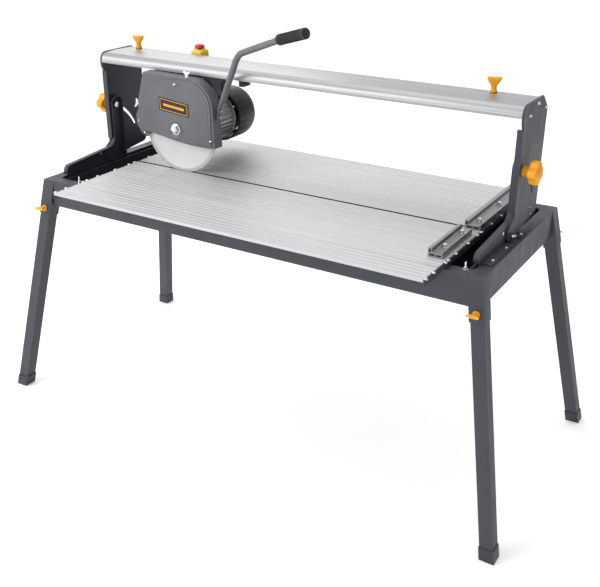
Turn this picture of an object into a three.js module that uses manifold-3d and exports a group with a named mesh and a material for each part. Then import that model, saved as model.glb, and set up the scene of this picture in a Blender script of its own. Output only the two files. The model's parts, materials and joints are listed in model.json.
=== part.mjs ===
// Wet tile saw with a tilting bridge on four splayed legs. Millimetres, +Z up, +X along the cut to the right,
// front (operator) side at -Y. The origin is on the floor, under the middle of the overall footprint. The sizes
// below are given from the blade's plane (y = 0), and the whole saw is moved back by footprintMiddle at the end.
import * as THREE from 'three';
import { mergeVertices } from 'three/addons/utils/BufferGeometryUtils.js';
import Module from 'manifold-3d';

const wasm = await Module();
wasm.setup();

// ---- driving dimensions -------------------------------------------------------------------------------------
const gap = 0.3; // clearance between pieces that touch
const footprintMiddle = 26.9; // y of the middle of the footprint, from the blade's plane

const frame = { halfLength: 612, front: -214, back: 277, top: 616, height: 70, width: 30, wall: 3, ledge: 42 };
const leg = { size: 31, wall: 1.6, footX: 710.5, footSpan: 321.4, top: 13, cut: 7 };
const socket = { size: 35, wall: 1.6, length: 100, knobDrop: 82 };
const foot = { size: 34.5, height: 30 };
const table = {
  top: 631.5, left: -469, right: 526, seat: frame.top + gap, skin: 3.2, web: 2.4, endPlate: 3, lip: 5.5,
};
const slot = { front: -3, back: 4.2 }; // saw slot between the front and rear planks
const planks = [
  ['front_plank_outer', -317, -238.3],
  ['front_plank_inner', -238, slot.front],
  ['rear_plank_inner', slot.back, 92],
  ['rear_plank_middle', 92.3, 256],
  ['rear_plank_outer', 256.3, 310],
];
const flute = { pitch: 15, width: 4.5, depth: 1.2 };
const fence = { halfWidth: 19, height: 20, floor: 10, lip: 14 };
const tray = {
  halfLength: 570, front: -180, back: 243, bottom: frame.top - frame.height + frame.wall + gap, top: 612,
};
const trayWall = 2.4;

const pivot = { y: 0, z: 631 }; // tilt axis of the bridge, along X
const clamp = { y: 44, z: 766, slotWidth: 9, tilt: 45 }; // tilt clamp bolt and the arc it runs in
const upright = { inner: 571, outer: 583.6, skin: 3, front: 24, back: 68, top: 790, topRound: 18, armFront: -168 };
const uprightFoot = { outer: 606, thick: 3, spans: [[-150, -20], [30, 68]] }; // screwed down on the frame
const armTop = { front: 645, back: 656, fillet: 25 };
const endPlate = { inner: 584.3, outer: 590, front: 20, back: 172, lip: [576, 676, 861], lipThick: 3 };
const rail = {
  halfLength: 584, front: 13.4, back: 133.5, bottom: 885, top: 911, wall: 4, throat: [50, 97], round: 22,
};

const blade = { x: -314, z: 743, radius: 115, thickness: 2.6, bore: 12.7 };
const carriage = {
  left: -410, right: -222, front: 20, back: 127, bottom: 864, top: 882, neckRight: -150,
};
const bumper = { length: 14, front: 58, back: 90, bottom: 859 }; // hangs from the right end of the neck
const roller = { radius: 7.4, tracks: [[30, 42], [105, 117]], at: [-384, -194], axle: 3 };
const lift = { x: -238, z: 850, pin: 6 }; // hinge of the saw head under the carriage
const lug = { halfWidth: 16, front: 22, back: 60, bottom: 834 };
const guard = { front: -20, back: 8.7, wall: 4, plateBack: 12.7 };
const bracket = { front: 13.1, back: 19.1, hub: 56, ear: 14 };
const motor = { front: 19.5, back: 168, radius: 60, finRoot: 53.5, fins: 30, bore: 47 };
const fan = { front: 168.4, back: 252, radius: 70, wall: 3 };
const shaft = { front: -15.5, back: 234, radius: 8, rotor: 43, rotorSpan: [34, 156], fanSpan: [184, 192] };
const box = { left: -384, right: -276, front: 137.8, back: 178, bottom: 813.8, top: 899 };
const handleTube = 8; // radius
const grip = { radius: 12.8, length: 94 };

// ---- colours and finishes -----------------------------------------------------------------------------------
function finish(color, roughness, metalness) {
  return new THREE.MeshStandardMaterial({ color, roughness, metalness });
}
const charcoal = finish(0x4b4c52, 0.55, 0.3);
const guardGrey = finish(0x73757a, 0.5, 0.2);
const aluminium = finish(0xd4d5d6, 0.35, 0.9);
const castMetal = finish(0xb4b6b8, 0.5, 0.8);
const steel = finish(0xc9cbcd, 0.3, 1.0);
const black = finish(0x1c1d20, 0.6, 0.0);
const yellow = finish(0xf5a519, 0.45, 0.0);
const red = finish(0xc3201c, 0.4, 0.0);
const green = finish(0x2f8f46, 0.4, 0.0);

// ---- shaping helpers ----------------------------------------------------------------------------------------
const saw = new THREE.Group();
saw.position.y = -footprintMiddle;

function add(name, geometry, material) {
  const mesh = new THREE.Mesh(geometry, material);
  mesh.name = name;
  saw.add(mesh);
}

function toSolid(geometry) {
  const bare = geometry.clone();
  bare.deleteAttribute('normal');
  bare.deleteAttribute('uv');
  const merged = mergeVertices(bare, 1e-4);
  const vertProperties = new Float32Array(merged.attributes.position.array);
  const triVerts = new Uint32Array(merged.index.array);
  return new wasm.Manifold(new wasm.Mesh({ numProp: 3, vertProperties, triVerts }));
}

function toGeometry(solid) {
  const mesh = solid.getMesh();
  const geometry = new THREE.BufferGeometry();
  geometry.setAttribute('position', new THREE.BufferAttribute(mesh.vertProperties, 3));
  geometry.setIndex(new THREE.BufferAttribute(mesh.triVerts, 1));
  return geometry;
}

function cut(from, ...tools) {
  return toGeometry(tools.reduce((solid, tool) => solid.subtract(toSolid(tool)), toSolid(from)));
}

function join(...pieces) {
  return toGeometry(pieces.slice(1).reduce((solid, piece) => solid.add(toSolid(piece)), toSolid(pieces[0])));
}

// A box between two corners.
function block([x0, x1], [y0, y1], [z0, z1]) {
  const geometry = new THREE.BoxGeometry(x1 - x0, y1 - y0, z1 - z0);
  return geometry.translate((x0 + x1) / 2, (y0 + y1) / 2, (z0 + z1) / 2);
}

// A round bar along Y, X or Z. Its axis passes through the two other coordinates given in at.
function barY(radius, [y0, y1], [x, z], sides = 24) {
  return new THREE.CylinderGeometry(radius, radius, y1 - y0, sides).translate(x, (y0 + y1) / 2, z);
}
function barX(radius, [x0, x1], [y, z], sides = 24) {
  const bar = new THREE.CylinderGeometry(radius, radius, x1 - x0, sides).rotateZ(Math.PI / 2);
  return bar.translate((x0 + x1) / 2, y, z);
}
function barZ(radius, [z0, z1], [x, y], sides = 24) {
  const bar = new THREE.CylinderGeometry(radius, radius, z1 - z0, sides).rotateX(Math.PI / 2);
  return bar.translate(x, y, (z0 + z1) / 2);
}

const alongX = new THREE.Matrix4().makeBasis(
  new THREE.Vector3(0, 1, 0), new THREE.Vector3(0, 0, 1), new THREE.Vector3(1, 0, 0));
const alongY = new THREE.Matrix4().makeBasis(
  new THREE.Vector3(-1, 0, 0), new THREE.Vector3(0, 0, 1), new THREE.Vector3(0, 1, 0));

// An outline drawn in (y, z), carried from x0 to x1.
function sweepX(shape, [x0, x1], curveSegments = 8) {
  const geometry = new THREE.ExtrudeGeometry(shape, { depth: x1 - x0, bevelEnabled: false, curveSegments });
  return geometry.applyMatrix4(alongX).translate(x0, 0, 0);
}

// An outline drawn in (-x, z), carried from y0 to y1.
function sweepY(shape, [y0, y1], curveSegments = 8) {
  const geometry = new THREE.ExtrudeGeometry(shape, { depth: y1 - y0, bevelEnabled: false, curveSegments });
  return geometry.applyMatrix4(alongY).translate(0, y0, 0);
}

function outline(points) {
  return new THREE.Shape(points.map(([u, v]) => new THREE.Vector2(u, v)));
}

// The same piece on the other side of x = 0, with its faces turned the right way out again.
function mirrorX(geometry) {
  const mirrored = (geometry.index ? geometry.toNonIndexed() : geometry.clone()).scale(-1, 1, 1);
  const position = mirrored.attributes.position;
  for (let i = 0; i < position.count; i += 3) {
    const second = new THREE.Vector3().fromBufferAttribute(position, i + 1);
    const third = new THREE.Vector3().fromBufferAttribute(position, i + 2);
    position.setXYZ(i + 1, ...third);
    position.setXYZ(i + 2, ...second);
  }
  const bare = new THREE.BufferGeometry();
  bare.setAttribute('position', position);
  return mergeVertices(bare, 1e-4);
}

function onBothSides(name, rightPiece, material) {
  add(`${name}_right`, rightPiece, material);
  add(`${name}_left`, mirrorX(rightPiece), material);
}

// ---- legs, sockets and frame --------------------------------------------------------------------------------
const frameMiddle = (frame.front + frame.back) / 2;
const frameHalfDepth = (frame.back - frame.front) / 2;

// Placement of one corner: origin at the middle of the socket's top, local +Z up along the splayed leg.
function cornerMatrix(sideX, sideY) {
  const top = new THREE.Vector3(
    sideX * (frame.halfLength - socket.size / 2),
    frameMiddle + sideY * (frameHalfDepth - socket.size / 2),
    frame.top);
  const onFloor = new THREE.Vector3(sideX * leg.footX, frameMiddle + sideY * leg.footSpan, 0);
  const up = top.clone().sub(onFloor).normalize();
  const back = new THREE.Vector3(0, 1, 0).addScaledVector(up, -up.y).normalize();
  const right = new THREE.Vector3().crossVectors(back, up);
  return new THREE.Matrix4().makeBasis(right, back, up).setPosition(top);
}

function squareBar(size, [from, to]) {
  return block([-size / 2, size / 2], [-size / 2, size / 2], [from, to]);
}

const everywhere = [-900, 900];
const aboveFrame = block(everywhere, everywhere, [frame.top, frame.top + 300]);
const belowFloor = block(everywhere, everywhere, [-300, 0]);
const belowLegCut = block(everywhere, everywhere, [-300, leg.cut]);

// Wing knob with its stud: local axis along +Y, the wings' seat at y = 0, the stud reaching back to y = -reach.
function wingKnob(reach, hubRadius, height, wingSpan, wingThickness, studRadius) {
  return join(
    barY(hubRadius, [0, height * 0.55], [0, 0], 20),
    block([-wingSpan / 2, wingSpan / 2], [height * 0.2, height], [-wingThickness / 2, wingThickness / 2]),
    barY(studRadius, [-reach, height * 0.5], [0, 0], 12));
}

function corner(name, sideX, sideY) {
  const place = cornerMatrix(sideX, sideY);
  const knobAxis = [0, -socket.knobDrop];
  const face = socket.size / 2;
  const stud = 4;
  const put = (geometry) => geometry.applyMatrix4(place);

  const bore = squareBar(leg.size + 2 * 0.4, [-socket.length - 10, -leg.top + 1.5]);
  const knobHole = barY(stud + 0.5, sideY > 0 ? [0, 40] : [-40, 0], knobAxis, 16);
  const tube = cut(squareBar(socket.size, [-socket.length, 30]), bore, knobHole);
  add(`leg_socket_${name}`, cut(put(tube), aboveFrame), charcoal);

  const legLength = 700;
  const hollow = squareBar(leg.size - 2 * leg.wall, [-legLength - 10, -leg.top + 10]);
  const legTube = put(cut(squareBar(leg.size, [-legLength, -leg.top]), hollow));
  add(`leg_${name}`, cut(legTube, belowLegCut), charcoal);

  const legSpace = put(squareBar(leg.size + 2 * gap, [-legLength, 0]));
  const pocket = cut(legSpace, block(everywhere, everywhere, [-300, leg.cut - gap]));
  const shoe = put(squareBar(foot.size, [-legLength, 0]));
  const shoeCut = cut(shoe, belowFloor, block(everywhere, everywhere, [foot.height, 900]));
  add(`foot_${name}`, cut(shoeCut, pocket), black);

  const knob = wingKnob(face - leg.size / 2 - 0.4, 9.5, 24, 29, 9, stud);
  if (sideY < 0) knob.rotateZ(Math.PI);
  knob.translate(0, sideY * (face + gap), -socket.knobDrop);
  add(`leg_knob_${name}`, put(knob), yellow);
}

// The rails stop at a leaning plane, just short of the socket they are welded to.
function socketClearance(sideX, sideY, alongRail) {
  const half = socket.size / 2 + gap;
  const far = 200;
  const x = alongRail === 'x' ? (sideX > 0 ? [-half, far] : [-far, half]) : [-far, far];
  const y = alongRail === 'y' ? (sideY > 0 ? [-half, far] : [-far, half]) : [-far, far];
  return block(x, y, [-far, far]).applyMatrix4(cornerMatrix(sideX, sideY));
}

// Folded rail section: web on the outside, top flange, and a longer bottom flange that carries the tray.
function railSection(ledge) {
  const { wall, width, height, top } = frame;
  return outline([
    [0, top], [0, top - height], [ledge, top - height], [ledge, top - height + wall],
    [wall, top - height + wall], [wall, top - wall], [width, top - wall], [width, top],
  ]);
}

function frameRails() {
  const { halfLength, front, back } = frame;
  const reach = [-halfLength, halfLength];
  const longRail = sweepX(railSection(frame.ledge), reach);
  const frontRail = longRail.clone().translate(0, front, 0);
  const rearRail = longRail.rotateZ(Math.PI).translate(0, back, 0);
  // The flanges of the long rails are notched where the side rails come in.
  const notchX = halfLength - frame.width - gap;
  const notchY = (sideY) => (sideY < 0 ? [front + 22, front + 90] : [back - 90, back - 22]);
  const notch = (sideX, sideY) => block(sideX > 0 ? [notchX, 700] : [-700, -notchX], notchY(sideY), [0, 700]);
  const ends = (rail, sideY) => cut(
    rail, socketClearance(-1, sideY, 'x'), socketClearance(1, sideY, 'x'), notch(-1, sideY), notch(1, sideY));
  add('frame_rail_front', ends(frontRail, -1), charcoal);
  add('frame_rail_rear', ends(rearRail, 1), charcoal);

  const sideSection = sweepY(railSection(frame.width), [front, back]);
  const sideRail = sideSection.translate(halfLength, 0, 0);
  const rightRail = cut(sideRail, socketClearance(1, -1, 'y'), socketClearance(1, 1, 'y'));
  onBothSides('frame_rail', rightRail, charcoal);
}

// ---- table --------------------------------------------------------------------------------------------------
// Extruded plank: a fluted top skin on webs that reach down to seat, open underneath.
function plankSection(from, to, seat) {
  const { top, skin, web } = table;
  const bays = Math.max(1, Math.round((to - from) / 42));
  const bay = (to - from - web) / bays;
  const points = [[from, seat]];
  points.push([from, top]);
  const flutes = Math.floor((to - from - 4) / flute.pitch);
  const first = (from + to - (flutes - 1) * flute.pitch) / 2;
  for (let i = 0; i < flutes; i += 1) {
    const middle = first + i * flute.pitch;
    const [near, far] = [middle - flute.width / 2, middle + flute.width / 2];
    points.push([near, top], [near + 1, top - flute.depth], [far - 1, top - flute.depth], [far, top]);
  }
  points.push([to, top], [to, seat]);
  for (let i = bays - 1; i >= 0; i -= 1) {
    const left = from + web + i * bay;
    points.push([left + bay - web, seat], [left + bay - web, top - skin], [left, top - skin], [left, seat]);
  }
  return outline(points.reverse());
}

function tableParts() {
  for (const [name, from, to] of planks) {
    const seat = name === 'front_plank_outer' ? table.top - table.lip : table.seat; // shallow where it overhangs
    add(name, sweepX(plankSection(from, to, seat), [table.left, table.right]), aluminium);
  }
  const front = planks[0][1];
  const back = planks[planks.length - 1][2];
  const heights = [table.seat, table.top - 0.4];
  const { left, right, endPlate: thick } = table;
  add('table_end_plate_right', block([right + gap, right + gap + thick], [front, back], heights), charcoal);
  add('table_end_plate_left', block([left - gap - thick, left - gap], [front, back], heights), charcoal);
}

// Fence bar: a hollow extruded section with a tall stop face and an open channel for its clamp bolts.
// squeeze makes a narrower bar of the same height.
function fenceBar(x, [from, to], squeeze = 1) {
  const { halfWidth, height, floor, lip } = fence;
  const bottom = table.top + gap;
  const section = outline([
    [-halfWidth, 0], [halfWidth, 0], [halfWidth, height], [halfWidth - 10, height], [halfWidth - 10, floor],
    [-halfWidth + 3, floor], [-halfWidth + 3, lip], [-halfWidth, lip],
  ].map(([u, v]) => [u, v + bottom]));
  const hollows = [[-15.5, -3, 2.5, 7.5], [1, 15, 3, 7.1], [12, 16.4, 10.6, 17]];
  for (const [u0, u1, v0, v1] of hollows) {
    const corners = [[u0, v0], [u1, v0], [u1, v1], [u0, v1]].map(([u, v]) => new THREE.Vector2(u, v + bottom));
    section.holes.push(new THREE.Path(corners));
  }
  return sweepY(section, [from, to]).scale(squeeze, 1, 1).translate(x, 0, 0);
}

// ---- water tray ---------------------------------------------------------------------------------------------
function waterParts() {
  const { halfLength, front, back, bottom, top } = tray;
  const inside = [halfLength - trayWall, front + trayWall, back - trayWall];
  const drain = [-300, 140];
  const basin = cut(
    block([-halfLength, halfLength], [front, back], [bottom, top]),
    block([-inside[0], inside[0]], [inside[1], inside[2]], [bottom + trayWall, top + 10]),
    barZ(9.5, [bottom - 5, bottom + 10], drain, 20));
  add('water_tray', basin, charcoal);
  const plug = join(
    barZ(9, [bottom - 1, bottom + trayWall + 2], drain, 20),
    barZ(13, [bottom - gap - 4, bottom - gap], drain, 20));
  add('drain_plug', plug, black);
  const pumpFloor = bottom + trayWall + gap;
  const pump = join(
    block([-500, -440], [120, 170], [pumpFloor, pumpFloor + 38]),
    barZ(6, [pumpFloor + 30, pumpFloor + 50], [-485, 145], 16));
  add('water_pump', pump, black);
}

// ---- uprights, tilting end plates and bridge rail -----------------------------------------------------------
// Side view of an upright: a low arm with a rounded nose that turns up into the post.
function uprightOutline(inset, floor) {
  const { front, back, top, topRound, armFront } = upright;
  const noseRadius = (armTop.front - frame.top - gap) / 2;
  const nose = [armFront + noseRadius, frame.top + gap + noseRadius];
  const shape = new THREE.Shape();
  shape.moveTo(nose[0], floor);
  if (inset > 0) shape.lineTo(nose[0] - noseRadius + inset, floor);
  if (inset > 0) shape.lineTo(nose[0] - noseRadius + inset, nose[1]);
  shape.absarc(nose[0], nose[1], noseRadius - inset, inset > 0 ? Math.PI : 1.5 * Math.PI, Math.PI / 2, true);
  shape.lineTo(front - armTop.fillet, armTop.back - inset);
  const fillet = armTop.fillet + inset;
  shape.absarc(front - armTop.fillet, armTop.back + armTop.fillet, fillet, -Math.PI / 2, 0, false);
  shape.lineTo(front + inset, top - topRound);
  shape.absarc(front + topRound, top - topRound, topRound - inset, Math.PI, Math.PI / 2, true);
  shape.absarc(back - topRound, top - topRound, topRound - inset, Math.PI / 2, 0, true);
  shape.lineTo(back - inset, floor);
  shape.closePath();
  return shape;
}

function uprightPiece() {
  const { inner, outer, skin } = upright;
  const floor = frame.top + gap;
  const body = sweepX(uprightOutline(0, floor), [inner, outer]);
  const pocket = sweepX(uprightOutline(skin, floor - 20), [inner - 5, outer - skin]);
  const footHeight = [floor, floor + uprightFoot.thick];
  const feet = uprightFoot.spans.map((span) => block([outer - skin, uprightFoot.outer], span, footHeight));
  const boltHole = barX(4.5, [inner, outer + 10], [clamp.y, clamp.z], 16);
  const pivotHole = barX(6.5, [inner - 5, outer + 10], [pivot.y, pivot.z], 16);
  return cut(join(cut(body, pocket), ...feet), boltHole, pivotHole);
}

// Moving end plate: carries the rail, turns on the pivot bolt, and has the arc slot for the clamp bolt. Its front
// edge is folded inwards as a lip.
function endPlatePiece() {
  const { inner, outer, front, back, lip, lipThick } = endPlate;
  const [lipReach, lipBottom, lipTop] = lip;
  const eye = 14;
  const heel = 18;
  const shape = new THREE.Shape();
  shape.moveTo(pivot.y, pivot.z - eye);
  shape.lineTo(back - heel, 634);
  shape.absarc(back - heel, 634 + heel, heel, -Math.PI / 2, 0, false);
  shape.lineTo(back, rail.top - 30);
  shape.lineTo(rail.back + 3, rail.top + 1);
  shape.absarc(rail.front + rail.round, rail.top + 1 - rail.round, rail.round, Math.PI / 2, Math.PI, false);
  shape.lineTo(rail.front, rail.bottom - 8);
  shape.lineTo(front, lipTop);
  shape.lineTo(front, lipBottom - 10);
  shape.lineTo(pivot.y - eye, pivot.z + 12);
  shape.absarc(pivot.y, pivot.z, eye, Math.PI, 1.5 * Math.PI, false);

  const reach = Math.hypot(clamp.y - pivot.y, clamp.z - pivot.z);
  const start = Math.atan2(clamp.z - pivot.z, clamp.y - pivot.y);
  const end = start - THREE.MathUtils.degToRad(clamp.tilt);
  const half = clamp.slotWidth / 2;
  const arc = new THREE.Path();
  arc.absarc(pivot.y, pivot.z, reach + half, end, start, false);
  arc.absarc(clamp.y, clamp.z, half, start, start + Math.PI, false);
  arc.absarc(pivot.y, pivot.z, reach - half, start, end, true);
  const slotEnd = [pivot.y + reach * Math.cos(end), pivot.z + reach * Math.sin(end)];
  arc.absarc(...slotEnd, half, end + Math.PI, end + 2 * Math.PI, false);
  shape.holes.push(arc);

  const plate = sweepX(shape, [inner, outer], 12);
  const lipFold = block([lipReach, outer], [front - lipThick, front + 0.5], [lipBottom, lipTop]);
  const bolt = barX(6, [upright.outer - upright.skin - 8, outer + 7], [pivot.y, pivot.z], 16);
  return join(plate, lipFold, bolt);
}

function railSectionShape() {
  const { front, back, bottom, top, wall, throat, round } = rail;
  const shape = new THREE.Shape();
  const crown = (y) => top - (Math.abs(y - (front + back) / 2) / 60) ** 2 * 1.4;
  shape.moveTo(front, bottom);
  shape.lineTo(throat[0], bottom);
  shape.lineTo(throat[0], bottom + wall);
  shape.lineTo(front + wall, bottom + wall);
  shape.absarc(front + round, top - round - 1, round - wall, Math.PI, Math.PI / 2, true);
  shape.lineTo(back - wall, top - 1 - wall);
  shape.lineTo(back - wall, bottom + wall);
  shape.lineTo(throat[1], bottom + wall);
  shape.lineTo(throat[1], bottom);
  shape.lineTo(back, bottom);
  shape.absarc(back - 5, top - 7, 5, 0, Math.PI / 2, false);
  for (const y of [118, 100, 73, 50]) shape.lineTo(y, crown(y));
  shape.absarc(front + round, top - round - 1, round, Math.PI / 2, Math.PI, false);
  shape.closePath();
  return shape;
}

const topKnobs = { right: [484, 109], left: [-538, 114] };

function bridgeParts() {
  const { halfLength, top, wall } = rail;
  const length = [-halfLength, halfLength];
  const stud = 7; // ends inside the rail
  const holes = Object.values(topKnobs).map((at) => barZ(4.5, [top - wall - 8, top + 10], at, 16));
  add('bridge_rail', cut(sweepX(railSectionShape(), length, 6), ...holes), aluminium);
  onBothSides('end_plate', endPlatePiece(), charcoal);
  onBothSides('upright', uprightPiece(), charcoal);
  for (const [side, [x, y]] of Object.entries(topKnobs)) {
    const knob = wingKnob(stud, 9, 34, 32, 11, 4).rotateX(Math.PI / 2).rotateZ(0.35);
    add(`rail_knob_${side}`, knob.translate(x, y, top + gap + 0.2), yellow);
  }
}

// Lobed hand knob on a bolt through the upright, axis along +X.
function tiltKnob() {
  const lobes = 6;
  const shape = new THREE.Shape();
  const steps = 48;
  for (let i = 0; i < steps; i += 1) {
    const angle = (i / steps) * 2 * Math.PI;
    const radius = 24.5 + 2.5 * Math.cos(lobes * angle);
    shape[i ? 'lineTo' : 'moveTo'](clamp.y + radius * Math.cos(angle), clamp.z + radius * Math.sin(angle));
  }
  const at = [clamp.y, clamp.z];
  const seat = endPlate.outer + 0.5;
  const headFrom = upright.inner + 1;
  return join(
    sweepX(shape, [seat + 15, seat + 38]),
    barX(13, [seat, seat + 40], at, 20),
    barX(4, [headFrom, seat + 5], at, 12),
    barX(8, [headFrom, upright.outer - upright.skin - gap], at, 6));
}

// ---- carriage and saw head ----------------------------------------------------------------------------------
function carriageParts() {
  const { left, right, front, back, bottom, top, neckRight } = carriage;
  const neck = block([left + 8, neckRight], [rail.throat[0] + 3, rail.throat[1] - 3], [top - 1, 903]);
  const stop = block([neckRight - 2 - bumper.length, neckRight - 2], [bumper.front, bumper.back], [bumper.bottom, top]);
  const axleHeight = rail.bottom + rail.wall + gap + roller.radius;
  const axles = roller.at.map((x) => barY(roller.axle + gap, [front, back], [x, axleHeight], 16));
  const body = join(
    block([left, right], [front, back], [bottom, top]),
    neck,
    stop,
    block([lift.x - lug.halfWidth, lift.x + lug.halfWidth], [lug.front, lug.back], [lug.bottom, bottom + 1]));
  const pinBore = barY(lift.pin + gap, [lug.front - 5, lug.back + 5], [lift.x, lift.z], 20);
  add('carriage', cut(body, pinBore, ...axles), black);
  roller.at.forEach((x, i) => {
    const wheels = roller.tracks.map((track) => barY(roller.radius, track, [x, axleHeight], 24));
    const axle = barY(roller.axle, [roller.tracks[0][0] - 2, roller.tracks[1][1] + 2], [x, axleHeight], 12);
    add(`roller_axle_${i + 1}`, join(axle, ...wheels), black);
  });
}

// Guard outline around the blade axis, drawn in (-x, z) from the blade's centre and drawn inwards by inset.
function guardOutline(inset, drop) {
  const shape = new THREE.Shape();
  const corner = { u: -48, v: 66, radius: 72 };
  shape.moveTo(126 - inset, -3 - drop);
  shape.lineTo(122 - inset, 66);
  shape.lineTo(99 - inset, 141 - inset);
  shape.lineTo(corner.u, 138 - inset);
  shape.absarc(corner.u, corner.v, corner.radius - inset, Math.PI / 2, Math.PI, false);
  shape.lineTo(-123 + inset, -32 - drop);
  shape.quadraticCurveTo(-10, -40 - drop, 126 - inset, -3 - drop);
  return shape;
}

function guardParts() {
  const atBlade = (geometry) => geometry.translate(blade.x, 0, blade.z);
  const wingAt = [blade.x - 129, -4, blade.z + 52];
  const shell = cut(
    atBlade(sweepY(guardOutline(0, 0), [guard.front, guard.back], 10)),
    atBlade(sweepY(guardOutline(guard.wall, 30), [guard.front + guard.wall, guard.back + 5], 10)),
    barX(3.4, [wingAt[0] - 5, wingAt[0] + 12], [wingAt[1], wingAt[2]], 12));
  add('guard_cover', shell, guardGrey);
  const backPlate = atBlade(sweepY(guardOutline(0, 0), [guard.back + gap, guard.plateBack], 10));
  const shaftHole = barY(32, [0, 40], [blade.x, blade.z], 24);
  add('guard_back_plate', cut(backPlate, shaftHole), guardGrey);

  const wing = wingKnob(5, 5.5, 15, 24, 3.5, 3).rotateZ(Math.PI / 2);
  add('guard_wing_nut', wing.translate(...wingAt), steel);
}

// Plate between the guard and the motor: a round seat for the motor and an ear for the lift hinge.
function headBracket() {
  const ear = { u: -(lift.x - blade.x), v: lift.z - blade.z };
  const reach = Math.hypot(ear.u, ear.v);
  const toEar = Math.atan2(ear.v, ear.u);
  const spread = Math.acos((bracket.hub - bracket.ear) / reach);
  const shape = new THREE.Shape();
  shape.absarc(0, 0, bracket.hub, toEar + spread, toEar - spread + 2 * Math.PI, false);
  shape.absarc(ear.u, ear.v, bracket.ear, toEar - spread, toEar + spread, false);
  const plate = sweepY(shape, [bracket.front, bracket.back], 16).translate(blade.x, 0, blade.z);
  const pin = barY(lift.pin, [bracket.back - 1, lug.back + 3], [lift.x, lift.z], 20);
  const shaftHole = barY(12, [0, 40], [blade.x, blade.z], 24);
  return cut(join(plate, pin), shaftHole);
}

function motorParts() {
  const at = [blade.x, blade.z];
  const shape = new THREE.Shape();
  for (let i = 0; i < motor.fins; i += 1) {
    const from = (i / motor.fins) * 2 * Math.PI;
    const step = (2 * Math.PI) / motor.fins / 4;
    const radii = [motor.finRoot, motor.finRoot, motor.radius, motor.radius];
    radii.forEach((radius, k) => {
      const angle = from + k * step;
      shape[i + k ? 'lineTo' : 'moveTo'](radius * Math.cos(angle), radius * Math.sin(angle));
    });
  }
  const finned = sweepY(shape, [motor.front, motor.back]).translate(at[0], 0, at[1]);
  const housing = cut(finned, barY(motor.bore, [motor.front + 8, motor.back + 5], at, 32), barY(12, [0, 40], at, 24));
  const seatHeight = [at[1] + motor.radius - 8, box.bottom - gap];
  const seat = block([at[0] - 10, at[0] + 16], [box.front + 2, motor.back - 2], seatHeight);
  add('motor_housing', join(housing, seat), castMetal);

  const cup = cut(
    barY(fan.radius, [fan.front, fan.back], at, 40),
    barY(fan.radius - fan.wall, [fan.front - 5, fan.back - fan.wall], at, 40));
  add('fan_cover', cup, black);

  const { rotor, rotorSpan, fanSpan } = shaft;
  const spindle = join(
    barY(shaft.radius, [shaft.front + 10, shaft.back], at, 20),
    barY(shaft.radius - 2, [shaft.front, shaft.back], at, 20),
    barY(rotor, rotorSpan, at, 32),
    barY(20, [2, 6], at, 24),
    barY(54, fanSpan, at, 24));
  add('motor_shaft', spindle, steel);
}

function bladeParts() {
  const at = [blade.x, blade.z];
  const half = blade.thickness / 2;
  const disc = cut(barY(blade.radius, [-half, half], at, 96), barY(blade.bore, [-5, 5], at, 32));
  add('saw_blade', disc, steel);
  const nut = join(barY(20, [-5.5, -half - gap], at, 24), barY(12, [-12, -5], at, 6));
  const thread = barY(shaft.radius + gap, [-20, 5], at, 20);
  add('blade_flange_nut', cut(nut, thread), steel);
}

function switchParts() {
  const { left, right, front, back, bottom, top } = box;
  const middle = (front + back) / 2;
  const stop = { x: -362, radius: 14, stem: 6 };
  const start = { x: -300, radius: 7 };
  const housingTop = 920;
  const startHole = barZ(start.radius + 0.4, [top - 9, top + 5], [start.x, middle], 20);
  add('terminal_box', cut(block([left, right], [front, back], [bottom, top]), startHole), black);
  const startButton = barZ(start.radius, [top - 5, top + 4], [start.x, middle], 20);
  add('start_button', startButton, green);

  const housing = block([stop.x - 19, stop.x + 19], [front + 1, back - 1], [top + gap, housingTop]);
  const stemHole = barZ(stop.stem + 0.4, [housingTop - 14, housingTop + 5], [stop.x, middle], 20);
  add('switch_housing', cut(housing, stemHole), yellow);
  const mushroom = new THREE.LatheGeometry([
    new THREE.Vector2(0, -8), new THREE.Vector2(stop.stem, -8), new THREE.Vector2(stop.stem, 5),
    new THREE.Vector2(stop.radius, 5), new THREE.Vector2(stop.radius - 1, 9), new THREE.Vector2(9, 12),
    new THREE.Vector2(0, 13),
  ], 28);
  add('stop_button', mushroom.rotateX(Math.PI / 2).translate(stop.x, middle, housingTop), red);
}

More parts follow.
